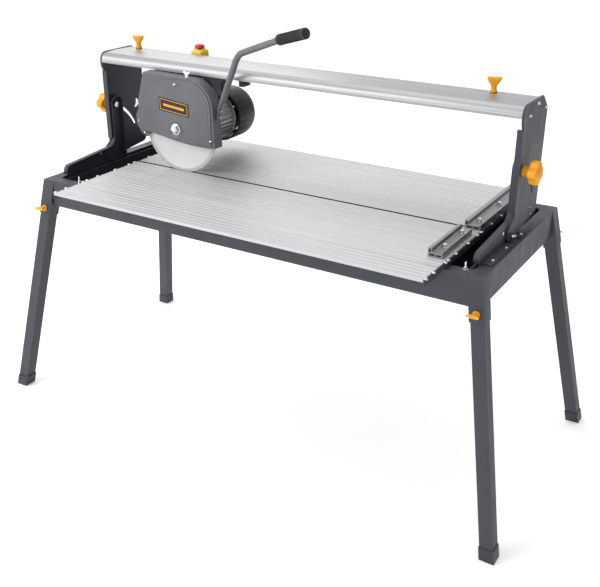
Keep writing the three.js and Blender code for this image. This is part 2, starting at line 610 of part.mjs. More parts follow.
// Bent push handle: a flat foot bolted to the side of the guard, a tube that passes in front of the rail, and a grip.
function handleParts() {
  const foot = new THREE.Vector3(-184, 0, 812);
  const gripStart = new THREE.Vector3(48, -85, 1013.5);
  const gripEnd = new THREE.Vector3(137, -112, 1039.6);
  const elbow = new THREE.Vector3(-114.7, -14, 955);
  const path = new THREE.CurvePath();
  const beforeBend = foot.clone().lerp(elbow, 0.84);
  const afterBend = elbow.clone().lerp(gripStart, 0.12);
  path.add(new THREE.LineCurve3(foot, beforeBend));
  path.add(new THREE.QuadraticBezierCurve3(beforeBend, elbow, afterBend));
  const axis = gripEnd.clone().sub(gripStart).normalize();
  path.add(new THREE.LineCurve3(afterBend, gripStart));
  const section = new THREE.Shape().absarc(0, 0, handleTube, 0, 2 * Math.PI, false);
  const tube = new THREE.ExtrudeGeometry(section, { steps: 36, extrudePath: path, curveSegments: 8 });
  const pad = block([-192.2, -182], [-8, 8], [782, 818]);
  add('handle', join(tube, pad), guardGrey);

  const rings = [new THREE.Vector2(0, 0)];
  const count = 7;
  for (let i = 0; i <= count; i += 1) {
    const along = (i / count) * (grip.length - 12);
    rings.push(new THREE.Vector2(grip.radius - 1.5, along), new THREE.Vector2(grip.radius, along + 6));
  }
  rings.push(new THREE.Vector2(grip.radius - 3, grip.length), new THREE.Vector2(0, grip.length));
  const sleeve = new THREE.LatheGeometry(rings, 20);
  sleeve.applyQuaternion(new THREE.Quaternion().setFromUnitVectors(new THREE.Vector3(0, 1, 0), axis));
  const start = gripStart.clone().addScaledVector(axis, 1.5);
  add('handle_grip', sleeve.translate(...start), black);
}

// ---- assembly -----------------------------------------------------------------------------------------------
for (const [name, sideX, sideY] of [
  ['front_left', -1, -1], ['front_right', 1, -1], ['rear_left', -1, 1], ['rear_right', 1, 1],
]) {
  corner(name, sideX, sideY);
}
frameRails();
tableParts();
add('fence_front', fenceBar(501, [-203, -40], 0.86), aluminium);
add('fence_rear', fenceBar(507, [-12, 305]), aluminium);
waterParts();
bridgeParts();
onBothSides('tilt_knob', tiltKnob(), yellow);
carriageParts();
guardParts();
add('head_bracket', headBracket(), guardGrey);
motorParts();
bladeParts();
switchParts();
handleParts();

export default saw;
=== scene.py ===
"""Looks of a bridge tile saw: finishes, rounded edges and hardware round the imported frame."""

import json
import math

import bmesh
import bpy
from mathutils import Matrix, Vector

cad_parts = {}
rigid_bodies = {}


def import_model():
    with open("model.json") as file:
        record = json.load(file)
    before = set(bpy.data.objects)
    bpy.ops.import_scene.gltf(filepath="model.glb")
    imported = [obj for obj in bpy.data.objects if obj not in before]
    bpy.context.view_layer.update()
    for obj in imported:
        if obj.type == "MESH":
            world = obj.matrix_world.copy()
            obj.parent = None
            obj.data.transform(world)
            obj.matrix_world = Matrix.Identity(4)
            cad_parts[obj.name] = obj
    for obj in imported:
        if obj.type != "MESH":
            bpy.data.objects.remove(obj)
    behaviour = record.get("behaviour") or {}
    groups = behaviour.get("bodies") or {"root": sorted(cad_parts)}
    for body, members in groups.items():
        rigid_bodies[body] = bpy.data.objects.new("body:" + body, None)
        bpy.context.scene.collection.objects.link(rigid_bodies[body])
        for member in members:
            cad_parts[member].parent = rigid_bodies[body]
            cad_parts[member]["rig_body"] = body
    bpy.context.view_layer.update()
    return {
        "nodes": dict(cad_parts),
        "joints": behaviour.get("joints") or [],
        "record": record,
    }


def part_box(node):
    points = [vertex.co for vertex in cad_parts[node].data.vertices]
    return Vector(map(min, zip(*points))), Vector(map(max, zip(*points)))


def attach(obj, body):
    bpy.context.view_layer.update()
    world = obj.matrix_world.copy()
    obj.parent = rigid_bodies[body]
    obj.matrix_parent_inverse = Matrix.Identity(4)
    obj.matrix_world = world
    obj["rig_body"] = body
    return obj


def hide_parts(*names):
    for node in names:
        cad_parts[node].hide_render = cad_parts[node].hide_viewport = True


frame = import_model()

MM = 0.001
blade_low, blade_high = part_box("saw_blade")
BLADE = (blade_low + blade_high) / 2  # middle of the cutting disc


def at(x, y, z):
    """A point in metres, from millimetres with y measured from the blade's plane."""
    return Vector((x * MM, y * MM + BLADE.y, z * MM))


# ---- camera, light and floor ----


def aim(thing, target):
    thing.rotation_euler = (Vector(target) - thing.location).to_track_quat("-Z", "Y").to_euler()


def set_camera():
    lens = bpy.data.cameras.new("camera")
    lens.lens = 53.79
    lens.sensor_width = 36.0
    lens.sensor_fit = "HORIZONTAL"
    camera = bpy.data.objects.new("camera", lens)
    camera.location = (1.1528, -1.8267, 1.3554)
    camera.rotation_euler = (math.radians(64.69), 0.0, math.radians(31.48))
    bpy.context.scene.collection.objects.link(camera)
    bpy.context.scene.camera = camera


def add_soft_box(name, place, size, watts, target=(0, 0, 0.6)):
    light = bpy.data.lights.new(name, "AREA")
    light.shape = "SQUARE"
    light.size = size
    light.energy = watts
    lamp = bpy.data.objects.new(name, light)
    lamp.location = place
    aim(lamp, target)
    bpy.context.scene.collection.objects.link(lamp)


def set_studio():
    add_soft_box("key_light", (-2.2, -2.9, 2.6), 2.2, 70)
    add_soft_box("top_light", (-0.6, 0.4, 3.6), 2.6, 22)
    add_soft_box("rear_light", (-2.4, 2.8, 2.4), 1.6, 14)
    world = bpy.data.worlds.new("studio")
    world.use_nodes = True
    tree = world.node_tree
    backdrop = tree.nodes["Background"]
    backdrop.inputs["Color"].default_value = (1.0, 1.0, 1.0, 1.0)
    way = wire(tree, "ShaderNodeTexCoord").outputs["Generated"]
    rightward = wire(tree, "ShaderNodeSeparateXYZ", {0: way}).outputs[0]
    link(tree, ranged(tree, rightward, 0.0, 0.85, 1.0, 0.22), backdrop, "Strength")
    bpy.context.scene.world = world
    bpy.context.scene.view_settings.view_transform = "Standard"


def add_floor():
    half = 9.0
    mesh = bpy.data.meshes.new("studio_floor")
    corners = [(-half, -half, 0), (half, -half, 0), (half, half, 0), (-half, half, 0)]
    mesh.from_pydata([(x, y, -0.0005) for x, y, _ in corners], [], [(0, 1, 2, 3)])
    floor = bpy.data.objects.new("studio_floor", mesh)
    bpy.context.scene.collection.objects.link(floor)
    paper = bpy.data.materials.new("pale_floor")
    paper.use_nodes = True
    tree = paper.node_tree
    shader = tree.nodes["Principled BSDF"]
    shader.inputs["Roughness"].default_value = 0.7
    shader.inputs["Specular IOR Level"].default_value = 0.2
    tone = noise(tree, coordinates(tree), 2.0, 3)
    link(tree, mix_colours(tree, tone, (0.965, 0.965, 0.97, 1), (0.985, 0.985, 0.99, 1)), shader,
        "Base Color")
    shader.inputs["Emission Color"].default_value = (1, 1, 1, 1)
    shader.inputs["Emission Strength"].default_value = 0.25
    mesh.materials.append(paper)


# ---- node wiring ----


def wire(tree, kind, sockets=None, **settings):
    """Adds a node, and links or sets the sockets that are given."""
    node = tree.nodes.new(kind)
    for name, value in settings.items():
        setattr(node, name, value)
    for key, value in (sockets or {}).items():
        link(tree, value, node, key)
    return node


def link(tree, value, node, key):
    if isinstance(value, bpy.types.NodeSocket):
        tree.links.new(value, node.inputs[key])
    else:
        node.inputs[key].default_value = value


def coordinates(tree, stretch=(1, 1, 1), centre=(0, 0, 0), turn=(0, 0, 0)):
    """Object coordinates, moved to centre, turned and stretched."""
    where = wire(tree, "ShaderNodeTexCoord").outputs["Object"]
    if any(centre) or any(turn):
        away = [-c for c in centre]
        where = wire(tree, "ShaderNodeMapping", {"Vector": where, "Location": away}).outputs[0]
        where = wire(tree, "ShaderNodeMapping", {"Vector": where, "Rotation": turn}).outputs[0]
    return wire(tree, "ShaderNodeMapping", {"Vector": where, "Scale": stretch}).outputs[0]


def noise(tree, vector, scale, detail=3.0, roughness=0.55):
    sockets = {"Vector": vector, "Scale": scale, "Detail": detail, "Roughness": roughness}
    return wire(tree, "ShaderNodeTexNoise", sockets).outputs[0]


def ranged(tree, value, low, high, to_low, to_high):
    """Carries low..high over to to_low..to_high, held at both ends."""
    sockets = {"Value": value, "From Min": low, "From Max": high, "To Min": to_low, "To Max": to_high}
    return wire(tree, "ShaderNodeMapRange", sockets).outputs[0]


def times(tree, first, second):
    return wire(tree, "ShaderNodeMath", {0: first, 1: second}, operation="MULTIPLY").outputs[0]


def mix_colours(tree, share, first, second):
    return wire(tree, "ShaderNodeMix", {0: share, 6: first, 7: second}, data_type="RGBA").outputs[2]


def bump(tree, height, strength, distance, under=None):
    sockets = {"Height": height, "Strength": strength, "Distance": distance}
    if under:
        sockets["Normal"] = under
    return wire(tree, "ShaderNodeBump", sockets).outputs[0]


def edge_wear_and_highlight(tree, reach):
    """1 on sharp edges, fading to 0 within reach of them. Masks rubbed paint and painted edge highlights."""
    soft = wire(tree, "ShaderNodeBevel", {"Radius": reach}, samples=4).outputs["Normal"]
    true = wire(tree, "ShaderNodeNewGeometry").outputs["Normal"]
    alike = wire(tree, "ShaderNodeVectorMath", {0: soft, 1: true}, operation="DOT_PRODUCT").outputs["Value"]
    return ranged(tree, alike, 0.8, 0.99, 1.0, 0.0)


def shade(colour, factor):
    return tuple(min(1.0, c * factor) for c in colour[:3]) + (1.0,)


def new_finish(name, **shader_values):
    finish = bpy.data.materials.new(name)
    finish.use_nodes = True
    shader = finish.node_tree.nodes["Principled BSDF"]
    for key, value in shader_values.items():
        shader.inputs[key.replace("_", " ")].default_value = value
    return finish, finish.node_tree, shader


# ---- finishes ----


def powder_coat(name, colour, roughness, bare, wear=0.55, grain=620.0):
    """Sprayed paint: orange-peel skin, slow tone changes, rubbed corners and faint scuffs."""
    finish, tree, shader = new_finish(name, Specular_IOR_Level=0.36)
    place = coordinates(tree)
    tone = ranged(tree, noise(tree, place, 6.5, 4), 0.3, 0.7, 0.0, 1.0)
    colours = mix_colours(tree, tone, shade(colour, 0.88), shade(colour, 1.12))
    rubbed = times(tree, edge_wear_and_highlight(tree, 0.0016), ranged(tree, noise(tree, place, 55, 4), 0.42, 0.66,
        0.15, wear))
    colours = mix_colours(tree, rubbed, colours, bare)
    link(tree, colours, shader, "Base Color")
    smears = noise(tree, coordinates(tree, (1, 1, 0.35)), 30, 5, 0.62)
    link(tree, ranged(tree, smears, 0.3, 0.72, roughness - 0.07, roughness + 0.11), shader, "Roughness")
    peel = noise(tree, place, grain, 2)
    link(tree, bump(tree, peel, 0.16, 0.0004), shader, "Normal")
    return finish


def drawn_aluminium(name, colour, along, roughness=0.34, tone_depth=0.16, metallic=0.8, line_depth=0.25):
    """Extruded aluminium: die lines and soft streaks that run along one axis, with a painted highlight on every
    edge.
    """
    finish, tree, shader = new_finish(name, Metallic=metallic)
    lengthwise = [1.0 if i == along else 30.0 for i in range(3)]
    fine = [2.0 if i == along else 420.0 for i in range(3)]
    streaks = noise(tree, coordinates(tree, lengthwise), 1.6, 5, 0.6)
    lines = noise(tree, coordinates(tree, fine), 1.0, 3, 0.6)
    colours = mix_colours(
        tree, ranged(tree, streaks, 0.3, 0.7, 0, 1), shade(colour, 1 - tone_depth), shade(colour, 1.05)
    )
    colours = mix_colours(tree, ranged(tree, lines, 0.42, 0.72, 0, line_depth), colours, shade(colour, 0.62))
    # painted highlight: every edge mixed towards near-white
    bright = times(tree, edge_wear_and_highlight(tree, 0.0009), 0.35)
    colours = mix_colours(tree, bright, colours, (0.94, 0.94, 0.95, 1))
    link(tree, colours, shader, "Base Color")
    link(tree, ranged(tree, streaks, 0.25, 0.75, roughness - 0.05, roughness + 0.12), shader, "Roughness")
    link(tree, bump(tree, lines, 0.12, 0.0002), shader, "Normal")
    return finish


def cast_metal(name, colour, metallic, roughness, grain=480.0):
    """Die casting: fine blasted grain, darker in patches, brighter along every edge, partly rubbed and partly a
    painted highlight.
    """
    finish, tree, shader = new_finish(name, Metallic=metallic)
    place = coordinates(tree)
    patches = noise(tree, place, 24, 5, 0.6)
    colours = mix_colours(tree, ranged(tree, patches, 0.3, 0.7, 0, 1), shade(colour, 0.8), shade(colour, 1.1))
    # edges lighter: painted highlight, with some rubbing
    colours = mix_colours(tree, times(tree, edge_wear_and_highlight(tree, 0.001), 0.5), colours, shade(colour, 1.6))
    link(tree, colours, shader, "Base Color")
    link(tree, ranged(tree, patches, 0.25, 0.75, roughness - 0.08, roughness + 0.1), shader, "Roughness")
    link(tree, bump(tree, noise(tree, place, grain, 3), 0.3, 0.0004), shader, "Normal")
    return finish


def ground_disc(name, colour):
    """Ground steel blade: rings about its own axis, with a duller gritty rim."""
    finish, tree, shader = new_finish(name, Metallic=0.45)
    place = coordinates(tree, centre=BLADE)
    flat = wire(tree, "ShaderNodeVectorMath", {0: place, 1: (1, 0, 1)}, operation="MULTIPLY").outputs[0]
    out = wire(tree, "ShaderNodeVectorMath", {0: flat}, operation="LENGTH").outputs["Value"]
    ring = wire(tree, "ShaderNodeCombineXYZ", {0: times(tree, out, 900.0)}).outputs[0]
    rings = noise(tree, ring, 1.0, 4, 0.6)
    blotch = noise(tree, place, 22, 4, 0.6)
    colours = mix_colours(tree, ranged(tree, rings, 0.3, 0.7, 0, 1), shade(colour, 0.9), shade(colour, 1.06))
    colours = mix_colours(tree, ranged(tree, blotch, 0.45, 0.75, 0, 0.25), colours, shade(colour, 0.75))
    rim = ranged(tree, out, 0.1035, 0.1055, 0, 1)
    grit = noise(tree, place, 1300, 3, 0.7)
    rim_colour = mix_colours(tree, grit, shade(colour, 0.55), shade(colour, 0.98))
    link(tree, mix_colours(tree, rim, colours, rim_colour), shader, "Base Color")
    link(tree, ranged(tree, rings, 0.3, 0.7, 0.38, 0.5), shader, "Roughness")
    skin = bump(tree, rings, 0.15, 0.0002)
    link(tree, bump(tree, times(tree, grit, rim), 0.5, 0.0005, skin), shader, "Normal")
    return finish


def bright_steel(name, colour, roughness):
    """Zinc-plated or turned steel, with faint blotches and fine scratches."""
    finish, tree, shader = new_finish(name, Metallic=1.0)
    place = coordinates(tree)
    blotch = noise(tree, place, 90, 4, 0.6)
    scratch = noise(tree, coordinates(tree, (1, 6, 1), turn=(0.3, 0.5, 0.7)), 500, 2)
    colours = mix_colours(tree, ranged(tree, blotch, 0.3, 0.7, 0, 1), shade(colour, 0.82), shade(colour,
        1.08))
    link(tree, colours, shader, "Base Color")
    link(tree, ranged(tree, scratch, 0.35, 0.7, roughness - 0.06, roughness + 0.12), shader, "Roughness")
    link(tree, bump(tree, scratch, 0.12, 0.0001), shader, "Normal")
    return finish


def moulded_plastic(name, colour, roughness, grain=850.0, grain_depth=0.14, rubbed=1.35):
    """Moulded plastic: fine spark-eroded grain, slight tone drift, lighter along every edge, partly rubbed and
    partly a painted highlight.
    """
    finish, tree, shader = new_finish(name, Specular_IOR_Level=0.45)
    place = coordinates(tree)
    drift = noise(tree, place, 32, 4, 0.55)
    colours = mix_colours(tree, ranged(tree, drift, 0.3, 0.7, 0, 1), shade(colour, 0.88), shade(colour, 1.08))
    # edges lighter by the factor rubbed: painted highlight, with some rubbing
    colours = mix_colours(tree, times(tree, edge_wear_and_highlight(tree, 0.0012), 0.55), colours, shade(colour, rubbed))
    link(tree, colours, shader, "Base Color")
    link(tree, ranged(tree, drift, 0.3, 0.7, roughness - 0.05, roughness + 0.08), shader, "Roughness")
    link(tree, bump(tree, noise(tree, place, grain, 2), grain_depth, 0.0004), shader, "Normal")
    return finish


def moulded_rubber(name, colour):
    finish, tree, shader = new_finish(name, Sheen_Weight=0.25, Sheen_Roughness=0.5, Specular_IOR_Level=0.35)
    place = coordinates(tree)
    dust = noise(tree, place, 45, 5, 0.65)
    colours = mix_colours(tree, ranged(tree, dust, 0.4, 0.75, 0, 1), shade(colour, 0.9), shade(colour, 1.8))
    link(tree, colours, shader, "Base Color")
    link(tree, ranged(tree, dust, 0.3, 0.7, 0.62, 0.82), shader, "Roughness")
    link(tree, bump(tree, noise(tree, place, 700, 3), 0.3, 0.0005), shader, "Normal")
    return finish


CHARCOAL = (0.05, 0.053, 0.064)
GUARD_GREY = (0.135, 0.14, 0.152)
BARE_STEEL = (0.2, 0.205, 0.22, 1)

finishes = {
    "frame_paint": powder_coat("charcoal_powder_coat", CHARCOAL, 0.5, BARE_STEEL),
    "guard_paint": powder_coat("guard_grey_paint", GUARD_GREY, 0.45, (0.34, 0.35, 0.37, 1), 0.5),
    "table_aluminium": drawn_aluminium("ribbed_table_aluminium", (0.6, 0.605, 0.61), 0, 0.5, 0.1, 0.45, 0.12),
    "rail_aluminium": drawn_aluminium("satin_rail_aluminium", (0.4, 0.404, 0.41), 0, 0.4, 0.1),
    "fence_aluminium": drawn_aluminium("fence_aluminium", (0.34, 0.344, 0.35), 1, 0.32, 0.2),
    "motor_aluminium": cast_metal("cast_motor_aluminium", (0.36, 0.365, 0.375), 0.85, 0.42),
    "carriage_casting": cast_metal("black_casting", (0.035, 0.036, 0.04), 0.2, 0.5),
    "blade_steel": ground_disc("ground_blade", (0.66, 0.66, 0.655)),
    "fastener_steel": bright_steel("zinc_plated_steel", (0.78, 0.79, 0.81), 0.22),
    "roller_steel": bright_steel("roller_steel", (0.45, 0.46, 0.48), 0.3),
    "yellow_plastic": moulded_plastic("yellow_nylon", (0.93, 0.39, 0.014), 0.4),
    "switch_plastic": moulded_plastic("switch_yellow", (0.9, 0.6, 0.03), 0.36),
    "red_plastic": moulded_plastic("stop_red", (0.58, 0.035, 0.025), 0.28, 1200.0, 0.05),
    "green_plastic": moulded_plastic("start_green", (0.03, 0.28, 0.06), 0.3, 1200.0, 0.05),
    # black parts: edges three times lighter, mostly painted highlight
    "black_plastic": moulded_plastic("black_nylon", (0.014, 0.014, 0.016), 0.42, 800.0, 0.16, 3.0),
    "label_face": moulded_plastic("label_face", (0.012, 0.012, 0.013), 0.33, 1500.0, 0.04, 3.0),
    "grip_rubber": moulded_rubber("grip_rubber", (0.014, 0.014, 0.015)),
    "foot_rubber": moulded_rubber("foot_rubber", (0.03, 0.031, 0.034)),
}


# ---- mesh making ----


def show(mesh, name):
    piece = bpy.data.objects.new(name, mesh)
    bpy.context.scene.collection.objects.link(piece)
    return piece


def baked(piece):
    """The piece's mesh with its modifiers applied. The piece itself is removed."""
    depsgraph = bpy.context.evaluated_depsgraph_get()
    mesh = bpy.data.meshes.new_from_object(piece.evaluated_get(depsgraph), depsgraph=depsgraph)
    bpy.data.objects.remove(piece)
    return mesh


def smooth(mesh, angle=35.0):
    mesh.polygons.foreach_set("use_smooth", [True] * len(mesh.polygons))
    mesh.set_sharp_from_angle(angle=math.radians(angle))


def finish_piece(mesh, name, slot, body, nodes=(), finish=None, angle=35.0):
    """Names a mesh, gives it its finish, ties it to its body and hides the CAD nodes it stands for."""
    mesh.name = name
    if finish is not False:
        mesh.materials.clear()
        mesh.materials.append(finishes[finish or slot])
    smooth(mesh, angle)
    piece = show(mesh, name)
    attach(piece, body)
    if nodes:
        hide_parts(*nodes)
    return piece


def mesh_from(bm, matrix=None):
    bmesh.ops.remove_doubles(bm, verts=bm.verts, dist=1e-6)
    bmesh.ops.recalc_face_normals(bm, faces=bm.faces)
    mesh = bpy.data.meshes.new("shape")
    bm.to_mesh(mesh)
    bm.free()
    if matrix:
        mesh.transform(matrix)
    return mesh


def join(*meshes):
    bm = bmesh.new()
    for mesh in meshes:
        bm.from_mesh(mesh)
    joined = bpy.data.meshes.new("joined")
    bm.to_mesh(joined)
    bm.free()
    return joined


def round_edges(mesh, width, segments=2, angle=30.0):
    piece = show(mesh, "rounding")
    bevel = piece.modifiers.new("edges", "BEVEL")
    bevel.width = width
    bevel.segments = segments
    bevel.limit_method = "ANGLE"
    bevel.angle_limit = math.radians(angle)
    bevel.miter_outer = "MITER_ARC"
    flat = piece.modifiers.new("flat_faces", "WEIGHTED_NORMAL")
    flat.keep_sharp = True
    mesh.polygons.foreach_set("use_smooth", [True] * len(mesh.polygons))
    return baked(piece)


def softened(node, width, segments=2, angle=30.0):
    """A copy of a CAD node's shape with merged corners and rounded edges."""
    bm = bmesh.new()
    bm.from_mesh(frame["nodes"][node].data)
    bmesh.ops.remove_doubles(bm, verts=bm.verts, dist=1e-5)
    bmesh.ops.dissolve_limit(bm, angle_limit=math.radians(0.8), verts=bm.verts, edges=bm.edges)
    mesh = bpy.data.meshes.new(node)
    bm.to_mesh(mesh)
    bm.free()
    return round_edges(mesh, width, segments, angle)


def body_of_node(node):
    return frame["nodes"][node]["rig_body"]


def slot_of_node(node):
    rows = frame["record"]["subparts"]
    return next(row["material_slot"] for row in rows if row["node"] == node)


def soften_node(node, width, segments=2, angle=30.0):
    mesh = softened(node, width * MM, segments, angle)
    return finish_piece(mesh, node + "_rounded", slot_of_node(node), body_of_node(node), [node], angle=60)


def rounded(corners, steps=5):
    """A closed outline from (u, v, radius) corners in millimetres, with each corner rounded."""
    points = []
    count = len(corners)
    for i, (u, v, radius) in enumerate(corners):
        here = Vector((u, v))
        before = (Vector(corners[i - 1][:2]) - here)
        after = (Vector(corners[(i + 1) % count][:2]) - here)
        if radius <= 0:
            points.append((u, v))
            continue
        half = before.angle(after) / 2
        run = min(radius / math.tan(half), before.length * 0.49, after.length * 0.49)
        start, end = here + before.normalized() * run, here + after.normalized() * run
        for k in range(steps + 1):
            t = k / steps
            spot = start * (1 - t) ** 2 + here * 2 * t * (1 - t) + end * t * t
            points.append(tuple(spot))
    return points


def arc(centre, radius, start, end, steps):
    """Points in millimetres round an arc. Angles in degrees."""
    turns = [math.radians(start + (end - start) * k / steps) for k in range(steps + 1)]
    return [(centre[0] + radius * math.cos(a), centre[1] + radius * math.sin(a)) for a in turns]


def quadratic(start, pull, end, steps):
    spots = []
    for k in range(steps + 1):
        t = k / steps
        spot = Vector(start) * (1 - t) ** 2 + Vector(pull) * 2 * t * (1 - t) + Vector(end) * t * t
        spots.append(tuple(spot))
    return spots


OUTLINES = {
    "round": lambda angle: 1.0,
    "hex": lambda angle: math.cos(math.pi / 6) / math.cos(angle % (math.pi / 3) - math.pi / 6),
    "cross": lambda angle: cross_outline(angle),
}


def cross_outline(angle):
    from_arm = angle % (math.pi / 2)
    from_arm = min(from_arm, math.pi / 2 - from_arm)
    return min(1 / math.cos(from_arm), 0.3 / max(math.sin(from_arm), 1e-6))


def turned(rings, sides=24, matrix=None):
    """A closed solid about local Z from (radius, height) rings in millimetres, round unless a third value says."""
    bm = bmesh.new()
    loops = []
    for radius, height, *shape in rings:
        outline = shape[0] if shape else "round"
        reach = OUTLINES[outline] if isinstance(outline, str) else outline
        loop = []
        for k in range(sides):
            angle = 2 * math.pi * k / sides
            r = radius * reach(angle) * MM
            loop.append(bm.verts.new((r * math.cos(angle), r * math.sin(angle), height * MM)))
        loops.append(loop)
    for low, high in zip(loops, loops[1:]):
        for k in range(sides):
            n = (k + 1) % sides
            bm.faces.new((low[k], low[n], high[n], high[k]))
    bm.faces.new(list(reversed(loops[0])))
    bm.faces.new(loops[-1])
    return mesh_from(bm, matrix)


def axis_matrix(origin, z_axis, x_hint=(1, 0, 0)):
    """A placement whose local Z is z_axis."""
    z = Vector(z_axis).normalized()
    x = Vector(x_hint)
    if abs(x.normalized().dot(z)) > 0.95:
        x = Vector((0, 1, 0))
    y = z.cross(x).normalized()
    x = y.cross(z)
    return Matrix((x, y, z)).transposed().to_4x4() if origin is None else (
        Matrix.Translation(origin) @ Matrix((x, y, z)).transposed().to_4x4()
    )


def swept(path, sections, sides=20):
    """A closed tube along path. sections gives (half width, half depth) in millimetres at each point."""
    bm = bmesh.new()
    loops = []
    side = Vector((0, 1, 0))
    for i, spot in enumerate(path):
        ahead = path[min(i + 1, len(path) - 1)] - path[max(i - 1, 0)]
        ahead.normalize()
        side = (side - ahead * side.dot(ahead)).normalized()
        up = ahead.cross(side)
        wide, deep = sections[i]
        loop = []
        for k in range(sides):
            angle = 2 * math.pi * k / sides
            loop.append(bm.verts.new(spot + up * wide * MM * math.cos(angle) + side * deep * MM * math.sin(angle)))
        loops.append(loop)
    for low, high in zip(loops, loops[1:]):
        for k in range(sides):
            n = (k + 1) % sides
            bm.faces.new((low[k], low[n], high[n], high[k]))
    bm.faces.new(list(reversed(loops[0])))
    bm.faces.new(loops[-1])
    return mesh_from(bm)


# ---- geometry-node tools ----

SOCKETS = {
    "geometry": "NodeSocketGeometry", "object": "NodeSocketObject", "material": "NodeSocketMaterial",
    "length": "NodeSocketFloat", "count": "NodeSocketInt", "turn": "NodeSocketFloat",
}


def start_tree(name, inputs):
    """An empty geometry tree with named inputs, and a function that ends it."""
    tree = bpy.data.node_groups.new(name, "GeometryNodeTree")
    for label, kind in inputs:
        tree.interface.new_socket(name=label, in_out="INPUT", socket_type=SOCKETS[kind])
    tree.interface.new_socket(name="Result", in_out="OUTPUT", socket_type=SOCKETS["geometry"])
    given = tree.nodes.new("NodeGroupInput").outputs

    def end_tree(geometry):
        real = wire(tree, "GeometryNodeRealizeInstances", {"Geometry": geometry}).outputs[0]
        painted = wire(tree, "GeometryNodeSetMaterial", {"Geometry": real,
            "Material": given["Finish"]}).outputs[0]
        tree.links.new(painted, tree.nodes.new("NodeGroupOutput").inputs[0])
        return tree

    return tree, given, end_tree


def grow(tree, values, start=None, matrix=None):
    """Runs a tree with its inputs set, and returns a plain mesh."""
    carrier = show(start or bpy.data.meshes.new("start"), "carrier")
    modifier = carrier.modifiers.new("grow", "NODES")
    modifier.node_group = tree
    for item in tree.interface.items_tree:
        if item.in_out == "INPUT" and item.name in values:
            modifier[item.identifier] = values[item.name]
    mesh = baked(carrier)
    if matrix:
        mesh.transform(matrix)
    return mesh


def make_scatter_tree():
    """One copy of Part at each point, turned to the point's facing, spun and sized by its own attributes."""
    tree, given, end_tree = start_tree(
        "hardware_on_points", [("Points", "geometry"), ("Part", "object"), ("Finish", "material")]
    )
    part = wire(tree, "GeometryNodeObjectInfo", {"Object": given["Part"]}).outputs["Geometry"]
    facing = wire(tree, "GeometryNodeInputNamedAttribute", {"Name": "facing"},
        data_type="FLOAT_VECTOR").outputs[0]
    size = wire(tree, "GeometryNodeInputNamedAttribute", {"Name": "size"}, data_type="FLOAT").outputs[0]
    spin = wire(tree, "GeometryNodeInputNamedAttribute", {"Name": "spin"}, data_type="FLOAT").outputs[0]
    turn = wire(tree, "FunctionNodeAlignRotationToVector", {"Vector": facing}, axis="Z").outputs[0]
    placed = wire(
        tree, "GeometryNodeInstanceOnPoints",
        {"Points": given["Points"], "Instance": part, "Rotation": turn, "Scale": size},
    ).outputs[0]
    own_axis = wire(tree, "ShaderNodeCombineXYZ", {2: spin}).outputs[0]
    spun = wire(tree, "GeometryNodeRotateInstances", {"Instances": placed, "Rotation": own_axis}).outputs[0]
    return end_tree(spun)


def make_ring_tree():
    """Count copies of Part round local Z at Radius."""
    tree, given, end_tree = start_tree(
        "parts_in_a_ring",
        [("Part", "object"), ("Count", "count"), ("Radius", "length"), ("First Angle", "turn"), ("Finish",
            "material")],
    )
    part = wire(tree, "GeometryNodeObjectInfo", {"Object": given["Part"]}).outputs["Geometry"]
    spots = wire(tree, "GeometryNodeMeshCircle", {"Vertices": given["Count"],
        "Radius": given["Radius"]}).outputs[0]
    number = wire(tree, "GeometryNodeInputIndex").outputs[0]
    share = wire(tree, "ShaderNodeMath", {0: number, 1: given["Count"]}, operation="DIVIDE").outputs[0]
    angle = times(tree, share, 2 * math.pi)
    placed = wire(
        tree, "GeometryNodeInstanceOnPoints",
        {"Points": spots, "Instance": part, "Rotation": wire(tree, "ShaderNodeCombineXYZ",
            {2: angle}).outputs[0]},
    ).outputs[0]
    whole = wire(tree, "ShaderNodeCombineXYZ", {2: given["First Angle"]}).outputs[0]
    turned_ring = wire(
        tree, "GeometryNodeTransform",
        {"Geometry": wire(tree, "GeometryNodeRealizeInstances", {"Geometry": placed}).outputs[0],
            "Rotation": whole},
    ).outputs[0]
    return end_tree(turned_ring)


def make_row_tree():
    """Count copies of Part up local Z, Pitch apart."""
    tree, given, end_tree = start_tree(
        "parts_in_a_row", [("Part", "object"), ("Count", "count"), ("Pitch", "length"), ("Finish",
            "material")]
    )
    part = wire(tree, "GeometryNodeObjectInfo", {"Object": given["Part"]}).outputs["Geometry"]
    step = wire(tree, "ShaderNodeCombineXYZ", {2: given["Pitch"]}).outputs[0]
    spots = wire(tree, "GeometryNodeMeshLine", {"Count": given["Count"], "Offset": step}).outputs[0]
    return end_tree(wire(tree, "GeometryNodeInstanceOnPoints", {"Points": spots,
        "Instance": part}).outputs[0])


def make_extrusion_tree():
    """A closed bar: Profile's outline and hollows, drawn in XY, carried up local Z by Length."""
    tree, given, end_tree = start_tree(
        "extruded_bar", [("Profile", "object"), ("Length", "length"), ("Finish", "material")]
    )
    outline = wire(tree, "GeometryNodeObjectInfo", {"Object": given["Profile"]}).outputs["Geometry"]
    face = wire(tree, "GeometryNodeFillCurve", {"Curve": outline}).outputs[0]
    up = wire(tree, "ShaderNodeCombineXYZ", {2: given["Length"]}).outputs[0]
    carried = wire(
        tree, "GeometryNodeExtrudeMesh", {"Mesh": face, "Offset": up, "Individual": False}, mode="FACES"
    ).outputs[0]
    near = wire(tree, "GeometryNodeFlipFaces", {"Mesh": face}).outputs[0]
    both = tree.nodes.new("GeometryNodeJoinGeometry")
    for mesh in (near, carried):
        tree.links.new(mesh, both.inputs[0])
    sockets = {"Geometry": both.outputs[0], "Distance": 1e-6}
    return end_tree(wire(tree, "GeometryNodeMergeByDistance", sockets).outputs[0])


scatter_tree = make_scatter_tree()
ring_tree = make_ring_tree()
row_tree = make_row_tree()
extrusion_tree = make_extrusion_tree()

